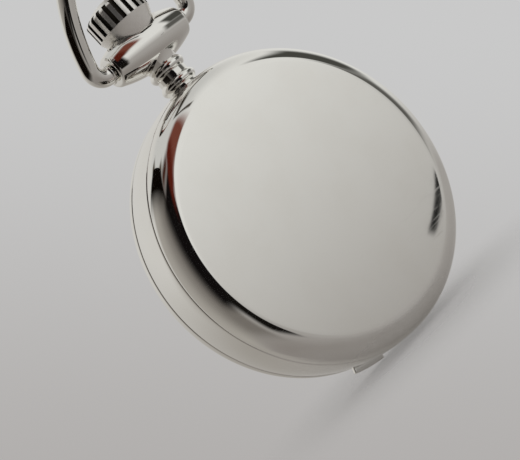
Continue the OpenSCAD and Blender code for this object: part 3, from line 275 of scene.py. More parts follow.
# The room that the metal mirrors, by degrees round from behind the watch and degrees up
room = {"ground": (0.25, 0.23, 0.215, 1), "level": (0.37, 0.355, 0.34, 1), "wall": (0.74, 0.74, 0.72, 1),
        "ceiling": (0.57, 0.57, 0.555, 1), "sideNear": (0.18, 0.165, 0.15, 1),
        "sideFar": (0.38, 0.36, 0.33, 1), "farLow": (0.35, 0.33, 0.305, 1), "farHigh": (0.64, 0.63, 0.605, 1),
        "levelUp": (-55, -14), "wallUp": (-14, 9), "ceilingUp": (30, 60), "farUp": (-32, 24),
        "farRound": (128, 142), "farEnds": (-50, 60, 14, 10), "sideShades": (55, 134),
        "sideRound": (30, 138, 10, 7), "sideEnds": (-36, 62, 9, 8)}
# Each dark thing in it: colour, from and to round, from and to up, then how soft its left, right and ends are
darkThings = {"doorway": ((0.005, 0.004, 0.004, 1), 1, 52, -12, 46, 2, 22, 5),
              "step": ((0.006, 0.005, 0.004, 1), 1, 21, -27, -4, 2, 7, 4),
              "shelf": ((0.05, 0.017, 0.01, 1), 8, 34, 46, 60, 5, 8, 6),
              "curtain": ((0.16, 0.05, 0.034, 1), -24, 3, 28, 62, 5, 6, 6),
              "drape": ((0.085, 0.012, 0.006, 1), -6, 8, 24, 58, 5, 5, 6),
              "screen": ((0.06, 0.06, 0.053, 1), -98, -55, 9, 31, 12, 4, 4),
              "table": ((0.10, 0.098, 0.09, 1), -82, -47, -6, 10, 10, 4, 4),
              "post": ((0.06, 0.045, 0.03, 1), -148, -138, 28, 58, 2.5, 2.5, 4),
              "beam": ((0.03, 0.024, 0.016, 1), -122, -31, 66, 73, 5, 2, 2.5),
              "upright": ((0.06, 0.05, 0.04, 1), -33, -29.5, 42, 67, 1, 1, 2),
              "cornice": ((0.075, 0.06, 0.042, 1), 34, 150, 62, 70, 8, 8, 3)}
rail = {"colour": (0.003, 0.003, 0.003, 1), "round": -40.75, "up": -8.1, "tilt": -36.6, "half": 2.6,
        "thin": 0.32, "sag": 0.26, "soft": 0.06, "endSoft": 0.5}
# The backdrop that camera and transmission rays see runs from top to foot, lighter at the picture's top and
# darker at its foot: painted shade; bounce is the even light that diffuse rays get
paper = {"top": (0.585, 0.585, 0.585, 1), "foot": (0.435, 0.42, 0.41, 1), "bounce": (0.66, 0.66, 0.66, 1),
         "rise": (-0.22, 0.16)}
world = bpy.data.worlds.new("room")
world.use_nodes = True
bpy.context.scene.world = world
world.node_tree.nodes.clear()
w = Tree(world.node_tree)
lookDirection = w.add("ShaderNodeTexCoord").outputs["Generated"]
axes = w.add("ShaderNodeSeparateXYZ")
w.wire(lookDirection, axes.inputs[0])
degree = math.degrees(1)
around = w.math("MULTIPLY", w.math("ARCTAN2", axes.outputs["X"], axes.outputs["Y"]), degree)
height = w.math("MULTIPLY", w.math("ARCSINE", axes.outputs["Z"]), degree)


def within(value, low, high, softLow, softHigh):
    return w.math("MULTIPLY", w.ramp(value, low - softLow, low + softLow),
                  w.ramp(value, high - softHigh, high + softHigh, 1.0, 0.0))


walls = w.mix(w.ramp(height, *room["levelUp"]), room["ground"], room["level"])
walls = w.mix(w.ramp(height, *room["wallUp"], smooth=False), walls, room["wall"])
walls = w.mix(w.ramp(height, *room["ceilingUp"]), walls, room["ceiling"])
farWall = w.mix(w.ramp(height, *room["farUp"]), room["farLow"], room["farHigh"])
behind = w.math("MULTIPLY", w.ramp(w.math("ABSOLUTE", around), *room["farRound"]),
                within(height, *room["farEnds"]))
walls = w.mix(behind, walls, farWall)
sideWall = w.mix(w.ramp(around, *room["sideShades"]), room["sideNear"], room["sideFar"])
beside = w.math("MULTIPLY", within(around, *room["sideRound"]), within(height, *room["sideEnds"]))
walls = w.mix(beside, walls, sideWall)
for colour, left, right, low, high, softLeft, softRight, softEnds in darkThings.values():
    covered = w.math("MULTIPLY", within(around, left, right, softLeft, softRight),
                     within(height, low, high, softEnds, softEnds))
    walls = w.mix(covered, walls, colour)
tilt = math.radians(rail["tilt"])
sideways = w.math("SUBTRACT", around, rail["round"])
upwards = w.math("SUBTRACT", height, rail["up"])
along = w.math("ADD", w.math("MULTIPLY", sideways, math.cos(tilt)),
               w.math("MULTIPLY", upwards, math.sin(tilt)))
across = w.math("SUBTRACT", w.math("MULTIPLY", upwards, math.cos(tilt)),
                w.math("MULTIPLY", sideways, math.sin(tilt)))
share = w.math("DIVIDE", along, rail["half"])
drop = w.math("MULTIPLY", w.math("MULTIPLY", share, share), rail["sag"])
across = w.math("ADD", across, w.math("SUBTRACT", rail["sag"], drop))
covered = w.math("MULTIPLY", within(along, -rail["half"], rail["half"], rail["endSoft"], rail["endSoft"]),
                 within(across, -rail["thin"], rail["thin"], rail["soft"], rail["soft"]))
walls = w.mix(covered, walls, rail["colour"])
# Painted shade: the backdrop darkens from the picture's top towards its foot
rise = w.towards(lookDirection, view["up"])
backdropWithPaintedShade = w.mix(w.ramp(rise, *paper["rise"]), paper["foot"], paper["top"])
path = w.add("ShaderNodeLightPath")
seen = w.math("MAXIMUM", path.outputs["Is Camera Ray"], path.outputs["Is Transmission Ray"])
mirrored = w.mix(path.outputs["Is Glossy Ray"], paper["bounce"], walls)
shown = w.mix(seen, mirrored, backdropWithPaintedShade)
sky = w.add("ShaderNodeBackground")
sky.inputs["Strength"].default_value = 1.0
w.wire(shown, sky.inputs["Color"])
w.wire(sky.outputs[0], w.add("ShaderNodeOutputWorld").inputs["Surface"])


def lamp(name, place, aim, size, power):
    light = bpy.data.lights.new(name, "AREA")
    light.shape = "DISK"
    light.size = size
    light.energy = power
    holder = bpy.data.objects.new(name, light)
    bpy.context.scene.collection.objects.link(holder)
    holder.matrix_world = (Matrix.Translation(place)
                           @ (Vector(place) - Vector(aim)).to_track_quat("Z", "Y").to_matrix().to_4x4())
    holder.visible_glossy = False


# Each lamp's place, its width in metres and its watts
lamps = {"overhead": ((40, 330, -140), 0.55, 0.16), "fill": ((-260, 120, 260), 0.40, 0.2)}
for name, (place, size, power) in lamps.items():
    lamp(name, bench(*place), caseMid, size, power)

# A dark card beside the pendant, out of the picture, which only the mirroring metal sees
flag = {"x": 24, "low": 16, "high": 47, "back": -19, "front": 8, "fade": 13, "sideFade": 4,
        "colour": (0.005, 0.003, 0.002, 1)}
flagFoot = bench(flag["x"], flag["low"], flag["front"])
flagHead = bench(flag["x"], flag["high"], flag["back"])
bm = bmesh.new()
corners = [(flagFoot.y, flagFoot.z), (flagHead.y, flagFoot.z), (flagHead.y, flagHead.z),
           (flagFoot.y, flagHead.z)]
bm.faces.new([bm.verts.new((flagFoot.x, y, z)) for y, z in corners])
card = toObject(bm, "flag")
for ray in ("camera", "diffuse", "transmission", "shadow", "volume_scatter"):
    setattr(card, "visible_" + ray, False)
felt = bpy.data.materials.new("felt")
felt.use_nodes = True
felt.node_tree.nodes.clear()
c = Tree(felt.node_tree)
spots = c.add("ShaderNodeSeparateXYZ")
c.wire(c.add("ShaderNodeTexCoord").outputs["Object"], spots.inputs[0])
solid = c.ramp(spots.outputs["Z"], flagFoot.z, flagFoot.z + flag["fade"] * mm)
for edge, way in ((flagFoot.y, 1), (flagHead.y, -1)):
    inward = c.math("MULTIPLY", spots.outputs["Y"], way)
    solid = c.math("MULTIPLY", solid, c.ramp(inward, edge * way, edge * way + flag["sideFade"] * mm))
nap = c.add("ShaderNodeBsdfDiffuse")
nap.inputs["Color"].default_value = flag["colour"]
thin = c.add("ShaderNodeMixShader")
c.wire(solid, thin.inputs[0])
c.wire(c.add("ShaderNodeBsdfTransparent").outputs[0], thin.inputs[1])
c.wire(nap.outputs[0], thin.inputs[2])
c.wire(thin.outputs[0], c.add("ShaderNodeOutputMaterial").inputs["Surface"])
card.data.materials.append(felt)

print("stage: floor")
floorPlan = {"reach": 0.1, "clear": 0.00005, "cover": 0.55, "fadeTo": 0.034, "grain": 900,
             "dull": (0.50, 0.49, 0.48, 1), "bright": (0.53, 0.52, 0.51, 1)}
foot = Vector((caseMid.x, caseMid.y, cadBounds[0][2] - floorPlan["clear"]))
bm = bmesh.new()
bmesh.ops.create_grid(bm, x_segments=4, y_segments=4, size=floorPlan["reach"],
                      matrix=Matrix.Translation(foot))
floor = toObject(bm, "floor")
floorPaper = bpy.data.materials.new("floorPaper")
floorPaper.use_nodes = True
floorPaper.node_tree.nodes.clear()
f = Tree(floorPaper.node_tree)
where = f.add("ShaderNodeTexCoord").outputs["Object"]
away = f.add("ShaderNodeVectorMath", operation="DISTANCE")
f.wire(where, away.inputs[0])
away.inputs[1].default_value = foot
fade = f.ramp(away.outputs["Value"], 0, floorPlan["fadeTo"], 1 - floorPlan["cover"], 1)
grain = f.add("ShaderNodeTexNoise")
f.wire(where, grain.inputs["Vector"])
grain.inputs["Scale"].default_value = floorPlan["grain"]
sheet = f.add("ShaderNodeBsdfDiffuse")
f.wire(f.mix(f.ramp(grain.outputs["Fac"], 0.3, 0.7), floorPlan["dull"], floorPlan["bright"]),
       sheet.inputs["Color"])
clear = f.add("ShaderNodeBsdfTransparent")
blendShader = f.add("ShaderNodeMixShader")
f.wire(fade, blendShader.inputs[0])
f.wire(sheet.outputs[0], blendShader.inputs[1])
f.wire(clear.outputs[0], blendShader.inputs[2])
f.wire(blendShader.outputs[0], f.add("ShaderNodeOutputMaterial").inputs["Surface"])
floor.data.materials.append(floorPaper)

print("stage: finishes")
wearPlan = {"ways": ((0.6, 9000), (-0.35, 12000), (1.9, 7000)), "stretch": (90, 300),
            "hairline": (0.70, 0.78), "patches": 170, "patchy": (0.38, 0.72), "pits": 420,
            "pit": (0.03, 0.06)}
finishPlan = {"grain": (0.35, 0.65), "grainRough": 0.12, "dent": 0.00002, "mottle": (0.32, 0.68),
              "mottleDent": 0.00003, "smear": (0.35, 0.7)}


# Hairline scratches, hazy patches and pits that any handled metal carries
def buildHandling():
    group = bpy.data.node_groups.new("handling", "ShaderNodeTree")
    face = group.interface
    face.new_socket("Place", in_out="INPUT", socket_type="NodeSocketVector")
    for name, value in (("Roughness", 0.1), ("Haze", 0.03), ("Hairlines", 0.1)):
        face.new_socket(name, in_out="INPUT", socket_type="NodeSocketFloat").default_value = value
    for name in ("Roughness", "Height", "Haze"):
        face.new_socket(name, in_out="OUTPUT", socket_type="NodeSocketFloat")
    g = Tree(group)
    given = g.add("NodeGroupInput")
    lines = []
    for angle, fine in wearPlan["ways"]:
        way = g.add("ShaderNodeMapping")
        g.wire(given.outputs["Place"], way.inputs["Vector"])
        way.inputs["Rotation"].default_value = (0, angle, 0.2 * angle)
        way.inputs["Scale"].default_value = (*wearPlan["stretch"], fine)
        noise = g.add("ShaderNodeTexNoise")
        g.wire(way.outputs[0], noise.inputs["Vector"])
        noise.inputs["Scale"].default_value = 1
        noise.inputs["Detail"].default_value = 1
        lines.append(g.ramp(noise.outputs["Fac"], *wearPlan["hairline"]))
    hair = g.math("MAXIMUM", g.math("MAXIMUM", lines[0], lines[1]), lines[2])
    patch = g.add("ShaderNodeTexNoise")
    g.wire(given.outputs["Place"], patch.inputs["Vector"])
    patch.inputs["Scale"].default_value = wearPlan["patches"]
    patch.inputs["Detail"].default_value = 5
    haze = g.ramp(patch.outputs["Fac"], *wearPlan["patchy"])
    pits = g.add("ShaderNodeTexVoronoi")
    g.wire(given.outputs["Place"], pits.inputs["Vector"])
    pits.inputs["Scale"].default_value = wearPlan["pits"]
    pit = g.ramp(pits.outputs["Distance"], *wearPlan["pit"], 1.0, 0.0)
    hair = g.math("MULTIPLY", hair, given.outputs["Hairlines"])
    rough = g.math("MULTIPLY_ADD", haze, given.outputs["Haze"])
    g.wire(given.outputs["Roughness"], rough.node.inputs[2])
    rough = g.math("ADD", rough, hair, clamp=True)
    dent = g.math("ADD", hair, g.math("MULTIPLY", pit, given.outputs["Hairlines"]))
    result = g.add("NodeGroupOutput")
    g.wire(rough, result.inputs["Roughness"])
    g.wire(g.math("SUBTRACT", 1.0, dent), result.inputs["Height"])
    g.wire(haze, result.inputs["Haze"])
    return group


# Rings of fine grain about an axis along the dial's own, as a turned or snailed face has
def buildTurning():
    group = bpy.data.node_groups.new("turning", "ShaderNodeTree")
    face = group.interface
    face.new_socket("Place", in_out="INPUT", socket_type="NodeSocketVector")
    face.new_socket("Middle", in_out="INPUT", socket_type="NodeSocketVector")
    face.new_socket("Pitch", in_out="INPUT", socket_type="NodeSocketFloat").default_value = 9000
    face.new_socket("Grain", in_out="OUTPUT", socket_type="NodeSocketFloat")
    g = Tree(group)
    given = g.add("NodeGroupInput")
    offset = g.add("ShaderNodeVectorMath", operation="SUBTRACT")
    g.wire(given.outputs["Place"], offset.inputs[0])
    g.wire(given.outputs["Middle"], offset.inputs[1])
    flat = g.add("ShaderNodeVectorMath", operation="MULTIPLY")
    g.wire(offset.outputs[0], flat.inputs[0])
    flat.inputs[1].default_value = (1, 0, 1)
    span = g.add("ShaderNodeVectorMath", operation="LENGTH")
    g.wire(flat.outputs[0], span.inputs[0])
    ring = g.add("ShaderNodeTexNoise", noise_dimensions="1D")
    g.wire(g.math("MULTIPLY", span.outputs["Value"], given.outputs["Pitch"]), ring.inputs["W"])
    ring.inputs["Scale"].default_value = 1
    ring.inputs["Detail"].default_value = 3
    g.wire(ring.outputs["Fac"], g.add("NodeGroupOutput").inputs["Grain"])
    return group


handling = buildHandling()
turning = buildTurning()


# A fine frosted skin, as gilding leaves on a stoned plate
def buildFrosting():
    group = bpy.data.node_groups.new("frosting", "ShaderNodeTree")
    face = group.interface
    face.new_socket("Place", in_out="INPUT", socket_type="NodeSocketVector")
    face.new_socket("Fineness", in_out="INPUT", socket_type="NodeSocketFloat").default_value = 14000
    face.new_socket("Grain", in_out="OUTPUT", socket_type="NodeSocketFloat")
    g = Tree(group)
    given = g.add("NodeGroupInput")
    specks = g.add("ShaderNodeTexNoise")
    g.wire(given.outputs["Place"], specks.inputs["Vector"])
    g.wire(given.outputs["Fineness"], specks.inputs["Scale"])
    specks.inputs["Detail"].default_value = 2
    g.wire(g.ramp(specks.outputs["Fac"], 0.3, 0.7), g.add("NodeGroupOutput").inputs["Grain"])
    return group


frosting = buildFrosting()


# A metal with its own wear: colour, a second colour for its hazy patches, and how rough it is
def metal(name, colour, hazeColour, rough, haze, hairlines, bump=0.08, rings=None, pitch=9000, frost=0):
    material = bpy.data.materials.new(name)
    material.use_nodes = True
    material.node_tree.nodes.clear()
    m = Tree(material.node_tree)
    place = m.add("ShaderNodeTexCoord").outputs["Object"]
    wear = m.add("ShaderNodeGroup", node_tree=handling)
    m.wire(place, wear.inputs["Place"])
    wear.inputs["Roughness"].default_value = rough
    wear.inputs["Haze"].default_value = haze
    wear.inputs["Hairlines"].default_value = hairlines
    shader = m.add("ShaderNodeBsdfPrincipled")
    shader.inputs["Metallic"].default_value = 1
    m.wire(m.mix(wear.outputs["Haze"], (*colour, 1), (*hazeColour, 1)), shader.inputs["Base Color"])
    relief = wear.outputs["Height"]
    roughness = wear.outputs["Roughness"]
    grain = None
    if rings is not None:
        grain = m.add("ShaderNodeGroup", node_tree=turning)
        grain.inputs["Middle"].default_value = rings
        grain.inputs["Pitch"].default_value = pitch
    elif frost:
        grain = m.add("ShaderNodeGroup", node_tree=frosting)
        grain.inputs["Fineness"].default_value = frost
    if grain is not None:
        m.wire(place, grain.inputs["Place"])
        relief = m.math("MULTIPLY", relief, grain.outputs["Grain"])
        grainRough = m.ramp(grain.outputs["Grain"], *finishPlan["grain"], 0.0, finishPlan["grainRough"])
        roughness = m.math("ADD", roughness, grainRough)
    m.wire(roughness, shader.inputs["Roughness"])
    dent = m.add("ShaderNodeBump")
    dent.inputs["Strength"].default_value = bump
    dent.inputs["Distance"].default_value = finishPlan["dent"]
    m.wire(relief, dent.inputs["Height"])
    m.wire(dent.outputs[0], shader.inputs["Normal"])
    m.wire(shader.outputs[0], m.add("ShaderNodeOutputMaterial").inputs["Surface"])
    return material


# A smooth glossy body such as enamel, printing ink or ruby, mottled a little between two colours
def glossy(name, colour, otherColour, scale, rough, coat=0.0, clear=0.0, bend=1.5, bump=0.03):
    material = bpy.data.materials.new(name)
    material.use_nodes = True
    material.node_tree.nodes.clear()
    m = Tree(material.node_tree)
    place = m.add("ShaderNodeTexCoord").outputs["Object"]
    mottle = m.add("ShaderNodeTexNoise")
    m.wire(place, mottle.inputs["Vector"])
    mottle.inputs["Scale"].default_value = scale
    mottle.inputs["Detail"].default_value = 4
    shade = m.ramp(mottle.outputs["Fac"], *finishPlan["mottle"])
    shader = m.add("ShaderNodeBsdfPrincipled")
    shader.inputs["Coat Weight"].default_value = coat
    shader.inputs["Transmission Weight"].default_value = clear
    shader.inputs["IOR"].default_value = bend
    m.wire(m.mix(shade, (*colour, 1), (*otherColour, 1)), shader.inputs["Base Color"])
    m.wire(m.ramp(shade, 0, 1, rough, rough * 1.5 + 0.01, smooth=False), shader.inputs["Roughness"])
    dent = m.add("ShaderNodeBump")
    dent.inputs["Strength"].default_value = bump
    dent.inputs["Distance"].default_value = finishPlan["mottleDent"]
    m.wire(shade, dent.inputs["Height"])
    m.wire(dent.outputs[0], shader.inputs["Normal"])
    m.wire(shader.outputs[0], m.add("ShaderNodeOutputMaterial").inputs["Surface"])
    return material


# Clear glass with faint smears, which lets the lamps shine straight through to the dial
def clearGlass(name, colour, smear, scale):
    material = bpy.data.materials.new(name)
    material.use_nodes = True
    material.node_tree.nodes.clear()
    m = Tree(material.node_tree)
    smears = m.add("ShaderNodeTexNoise")
    m.wire(m.add("ShaderNodeTexCoord").outputs["Object"], smears.inputs["Vector"])
    smears.inputs["Scale"].default_value = scale
    shader = m.add("ShaderNodeBsdfPrincipled")
    shader.inputs["Transmission Weight"].default_value = 1
    shader.inputs["Roughness"].default_value = 0
    shader.inputs["IOR"].default_value = 1.5
    smeared = m.ramp(smears.outputs["Fac"], *finishPlan["smear"])
    m.wire(m.mix(smeared, (*colour, 1), (*smear, 1)), shader.inputs["Base Color"])
    lampsThrough = m.add("ShaderNodeMixShader")
    m.wire(m.add("ShaderNodeLightPath").outputs["Is Shadow Ray"], lampsThrough.inputs[0])
    m.wire(shader.outputs[0], lampsThrough.inputs[1])
    m.wire(m.add("ShaderNodeBsdfTransparent").outputs[0], lampsThrough.inputs[2])
    m.wire(lampsThrough.outputs[0], m.add("ShaderNodeOutputMaterial").inputs["Surface"])
    return material


def middleOf(node):
    low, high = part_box(node)
    return (low + high) / 2


crownWheelSpot = middleOf("crown_wheel")
ratchetSpot = middleOf("ratchet_wheel")
caseSilver = metal("caseSilver", (0.90, 0.89, 0.86), (0.885, 0.872, 0.838), 0.03, 0.02, 0.11)
crownSatin = metal("crownSatin", (0.95, 0.935, 0.905), (0.89, 0.87, 0.835), 0.30, 0.06, 0.08)
# A dark metal for the crown's flute slots: painted shade in the depths of the recesses
slotPaintedShade = metal("slotPaintedShade", (0.10, 0.09, 0.075), (0.06, 0.05, 0.04), 0.45, 0.1, 0.05)
giltPlate = metal("giltPlate", (0.80, 0.60, 0.29), (0.73, 0.52, 0.24), 0.30, 0.08, 0.03, 0.12, frost=15000)
wheelBrass = metal("wheelBrass", (0.82, 0.65, 0.34), (0.75, 0.57, 0.28), 0.18, 0.08, 0.06)
steel = metal("steel", (0.60, 0.60, 0.59), (0.54, 0.54, 0.53), 0.13, 0.06, 0.08)
crownWheelSteel = metal("crownWheelSteel", (0.60, 0.60, 0.59), (0.55, 0.55, 0.54), 0.12, 0.05, 0.04, 0.35,
                        crownWheelSpot, 16000)
ratchetSteel = metal("ratchetSteel", (0.60, 0.60, 0.59), (0.55, 0.55, 0.54), 0.12, 0.05, 0.04, 0.35,
                     ratchetSpot, 16000)
bluedSteel = metal("bluedSteel", (0.018, 0.045, 0.20), (0.04, 0.03, 0.17), 0.12, 0.08, 0.05)
enamel = glossy("enamel", (0.83, 0.82, 0.775), (0.805, 0.79, 0.74), 260, 0.10, coat=0.7)
ink = glossy("ink", (0.014, 0.013, 0.014), (0.022, 0.02, 0.02), 2600, 0.28)
glass = clearGlass("crystalGlass", (1, 1, 1), (0.993, 0.996, 0.994), 140)
ruby = glossy("ruby", (0.50, 0.012, 0.05), (0.36, 0.008, 0.035), 1500, 0.04, coat=0.5, clear=0.45, bend=1.76)

print("stage: back cover")
cover = {"disc": 20.3, "edge": -6.65, "dome": -0.55, "seam": (23.2, -3.27), "swell": 0.76, "wall": 0.6,
         "edgeRound": 0.22, "seamRound": 0.16, "discSteps": 30, "shoulderSteps": 22, "insideSteps": 24}
hinge = {"x": -23.0, "z": 2.2, "knuckle": 1.5, "half": 3.3, "third": 2.2, "gap": 0.12, "web": 1.57,
         "webOut": 0.15, "webIn": 0.6, "pocketOut": 3, "pocketIn": 0.75, "pocketTop": 3.2}


# The two outer knuckles of a cover's hinge and the webs that carry them
def knuckles(bm, side):
    z = side * hinge["z"]
    for sign in (-1, 1):
        near, far = sign * (hinge["third"] / 2 + hinge["gap"]), sign * hinge["half"]
        rod(bm, (hinge["x"], near, z), (hinge["x"], far, z), hinge["knuckle"])
        block(bm, (hinge["x"] - hinge["webOut"], near, z),
              (hinge["x"] + hinge["webIn"], far, z + side * hinge["web"]))


bm = bmesh.new()
inner = cover["disc"] - cover["wall"]
innerEdge = cover["edge"] + cover["wall"]
innerSeam = (cover["seam"][0] - cover["wall"], cover["seam"][1])
outside = domed(cover["disc"], cover["edge"], cover["dome"], cover["discSteps"])
shoulder = bulge((cover["disc"], cover["edge"]), cover["seam"], cover["swell"], cover["shoulderSteps"])
lining = bulge((inner, innerEdge), innerSeam, cover["swell"], cover["shoulderSteps"])
inside = domed(inner, innerEdge, cover["dome"], cover["insideSteps"])
coverLine = outside + shoulder[1:] + lining[::-1] + inside[::-1][1:]
seamIndex = cover["discSteps"] + cover["shoulderSteps"]
turned(bm, coverLine, "dial",
       corners=((cover["discSteps"], cover["edgeRound"]), (seamIndex, cover["seamRound"])))
knuckles(bm, -1)
fit(toObject(bm, "backCover"), "back", caseSilver, "case_metal", "back_cover")

print("stage: band")
bandPlan = {"radius": 23.2, "swell": 0.25, "steps": 20, "rimOut": 22.2, "rimIn": 21.1, "rimTop": 3.75,
            "dialSeat": 20.4, "seatLow": 1.35, "bore": 19.8, "groove": 20.6, "grooveHigh": -0.55,
            "grooveLow": -1.15, "seamRound": 0.16, "rimRound": 0.08, "tenon": 4.4, "tenonFrom": 18,
            "tenonTo": 26}
bm = bmesh.new()
bandLine = bulge((bandPlan["radius"], -bandHalf), (bandPlan["radius"], bandHalf), bandPlan["swell"],
                 bandPlan["steps"])
frontRim = [(bandPlan["rimOut"], bandHalf), (bandPlan["rimOut"], bandPlan["rimTop"]),
            (bandPlan["rimIn"], bandPlan["rimTop"]), (bandPlan["rimIn"], bandHalf)]
dialSeat = [(bandPlan["dialSeat"], bandHalf), (bandPlan["dialSeat"], bandPlan["seatLow"]),
            (bandPlan["bore"], bandPlan["seatLow"])]
plateGroove = [(bandPlan["bore"], bandPlan["grooveHigh"]), (bandPlan["groove"], bandPlan["grooveHigh"]),
               (bandPlan["groove"], bandPlan["grooveLow"]), (bandPlan["bore"], bandPlan["grooveLow"])]
backRim = [(r, -along) for r, along in frontRim[::-1]]
bandLine += frontRim + dialSeat + plateGroove + [(bandPlan["bore"], -bandHalf)] + backRim
rimIndex = bandPlan["steps"] + 2  # the front rim's outer edge
backIndex = len(bandLine) - 3  # the back rim's inner edge
rounded = [(0, bandPlan["seamRound"]), (bandPlan["steps"], bandPlan["seamRound"])]
rounded += [(index, bandPlan["rimRound"]) for index in (rimIndex, rimIndex + 1, backIndex, backIndex + 1)]
turned(bm, bandLine, "dial", corners=rounded, closed=True)
band = toObject(bm, "band")
bm = bmesh.new()
for side in (-1, 1):
    for sign in (-1, 1):
        near, far = sign * hinge["third"] / 2, sign * (hinge["half"] + hinge["gap"])
        z = side * hinge["z"]
        rod(bm, (hinge["x"], near, z), (hinge["x"], far, z), hinge["knuckle"] + 2 * hinge["gap"])
        block(bm, (hinge["x"] - hinge["pocketOut"], near, z),
              (hinge["x"] + hinge["pocketIn"], far, side * hinge["pocketTop"]))
# Where the pendant's tenon goes in
rod(bm, (0, bandPlan["tenonFrom"], 0), (0, bandPlan["tenonTo"], 0), bandPlan["tenon"], 64)
carve(band, toObject(bm, "pockets"))
fit(band, "case", caseSilver, "case_metal", "mid_case")
bm = bmesh.new()
for side in (-1, 1):
    near, far = -hinge["third"] / 2, hinge["third"] / 2
    z = side * hinge["z"]
    rod(bm, (hinge["x"], near, z), (hinge["x"], far, z), hinge["knuckle"])
fit(toObject(bm, "bandKnuckles"), "case", caseSilver, "case_metal")

print("stage: bezel and crystal")
bezel = {"seam": (23.2, 3.27), "top": (22, 5.75), "swell": 0.5, "steps": 18, "face": 20.9, "mouth": 19.9,
         "groove": 20.62, "under": 3.9, "skirt": 22.35, "rounds": (0.15, 0.12, 0.1), "seamRound": 0.16}
crystal = {"edge": 20.6, "low": 4.5, "high": 5.2, "rise": 0.25, "steps": 20, "edgeRound": 0.06}
lip = {"angle": -75, "span": 13, "root": 22.55, "tip": 24.1, "low": 3.92, "high": 4.58, "round": 0.16}
bm = bmesh.new()
bezelLine = bulge(bezel["seam"], bezel["top"], bezel["swell"], bezel["steps"])
bezelLine += [(bezel["face"], bezel["top"][1]), (bezel["mouth"], crystal["high"]),
              (bezel["groove"], crystal["high"]), (bezel["groove"], crystal["low"]),
              (bezel["mouth"], crystal["low"]), (bezel["mouth"], bezel["under"]),
              (bezel["skirt"], bezel["under"]), (bezel["skirt"], bezel["seam"][1])]
rounded = [(0, bezel["seamRound"])]
rounded += [(bezel["steps"] + i, radius) for i, radius in enumerate(bezel["rounds"])]
turned(bm, bezelLine, "dial", corners=rounded, closed=True)
knuckles(bm, 1)
fit(toObject(bm, "bezelRing"), "front", caseSilver, "case_metal", "bezel")
bm = bmesh.new()
first = math.radians(lip["angle"] - lip["span"] / 2)
section = [(lip["root"], lip["low"]), (lip["tip"], lip["low"]), (lip["tip"], lip["high"]),
           (lip["root"], lip["high"])]
ends = [bm.verts.new(bench(r * math.cos(first), r * math.sin(first), z)) for r, z in section]
side = bm.faces.new(ends)
bmesh.ops.spin(bm, geom=[side], cent=caseMid, axis=lathes["dial"][0], dvec=(0, 0, 0),
               angle=-math.radians(lip["span"]), steps=14)
breakEdges(bm, lip["round"], 4, 46)
fit(toObject(bm, "thumbLip"), "front", caseSilver, "case_metal")
bm = bmesh.new()
crystalLine = [(0, crystal["low"]), (crystal["edge"], crystal["low"]), (crystal["edge"], crystal["high"])]
crystalLine += domed(bezel["mouth"], crystal["high"], crystal["rise"], crystal["steps"])[::-1]
turned(bm, crystalLine, "dial", corners=((1, crystal["edgeRound"]), (2, crystal["edgeRound"])))
fit(toObject(bm, "crystalDome"), "front", glass, "crystal_glass", "crystal")

print("stage: pendant")
pendant = {"neck": 2.4, "bead": 0.5, "beads": ((23.55, 25.15), (25.95, 27.55)), "foot": 22.85, "bore": 0.78,
           "flare": (2.8, 29.04), "top": 30.6, "ballHalf": 7.0, "ballEnd": 2.3, "ballSwell": 1.3,
           "ballSteps": 44, "endRound": 0.6, "cupLow": 32.45, "cupFoot": 3.45, "cupTop": 4.75,
           "cupHeight": 2.8, "boreFrom": 22, "boreTo": 36, "socket": 1.8, "socketFrom": 4.8, "socketTo": 8,
           "rimRound": 0.1, "rimReach": 0.2, "rimAngle": 0.5}
bm = bmesh.new()
neckLine = [(pendant["bore"], pendant["foot"]), (pendant["neck"], pendant["foot"])]
for low, high in pendant["beads"]:
    neckLine += bulge((pendant["neck"], low), (pendant["neck"], high), pendant["bead"], 10)
neckLine += [pendant["flare"], (pendant["flare"][0], pendant["top"]), (pendant["bore"], pendant["top"])]
turned(bm, neckLine, "stem", closed=True, steps=128)
neck = toObject(bm, "neck")
bm = bmesh.new()
ballEnd, ballHalf = pendant["ballEnd"], pendant["ballHalf"]
ballLine = bulge((ballEnd, -ballHalf), (ballEnd, ballHalf), pendant["ballSwell"], pendant["ballSteps"])
ballLine = [Vector((0, -ballHalf))] + ballLine + [Vector((0, ballHalf))]
ends = ((1, pendant["endRound"]), (pendant["ballSteps"] + 1, pendant["endRound"]))
turned(bm, ballLine, "bow", corners=ends, steps=128)
ball = carve(toObject(bm, "pendantBody"), neck, "UNION")
bm = bmesh.new()
cupMiddle = bench(0, pendant["cupLow"] + pendant["cupHeight"] / 2, 0)
bmesh.ops.create_cone(bm, cap_ends=True, segments=128, radius1=pendant["cupFoot"] * mm,
                      radius2=pendant["cupTop"] * mm, depth=pendant["cupHeight"] * mm,
                      matrix=Matrix.Translation(cupMiddle))
rod(bm, (0, pendant["boreFrom"], 0), (0, pendant["boreTo"], 0), 2 * pendant["bore"], 48)
for sign in (-1, 1):
    rod(bm, (sign * pendant["socketFrom"], bowPivot, 0), (sign * pendant["socketTo"], bowPivot, 0),
        pendant["socket"], 48)
carve(ball, toObject(bm, "hollows"))
bm = bmesh.new()
bm.from_mesh(ball.data)
bmesh.ops.remove_doubles(bm, verts=bm.verts[:], dist=4e-6)
bmesh.ops.dissolve_degenerate(bm, dist=4e-6, edges=bm.edges[:])
rimFrom = bench(0, pendant["cupLow"] - pendant["rimReach"], 0).z
cupRim = [e for e in bm.edges if e.is_manifold and e.is_convex and e.calc_face_angle() > pendant["rimAngle"]
          and all(v.co.z > rimFrom for v in e.verts)]
bmesh.ops.bevel(bm, geom=cupRim, offset=pendant["rimRound"] * mm, offset_type="OFFSET", segments=3,
                profile=0.5, affect="EDGES", material=-1, clamp_overlap=True)
bpy.data.objects.remove(ball)
fit(toObject(bm, "pendantBall", 40), "case", caseSilver, "case_metal", "pendant")

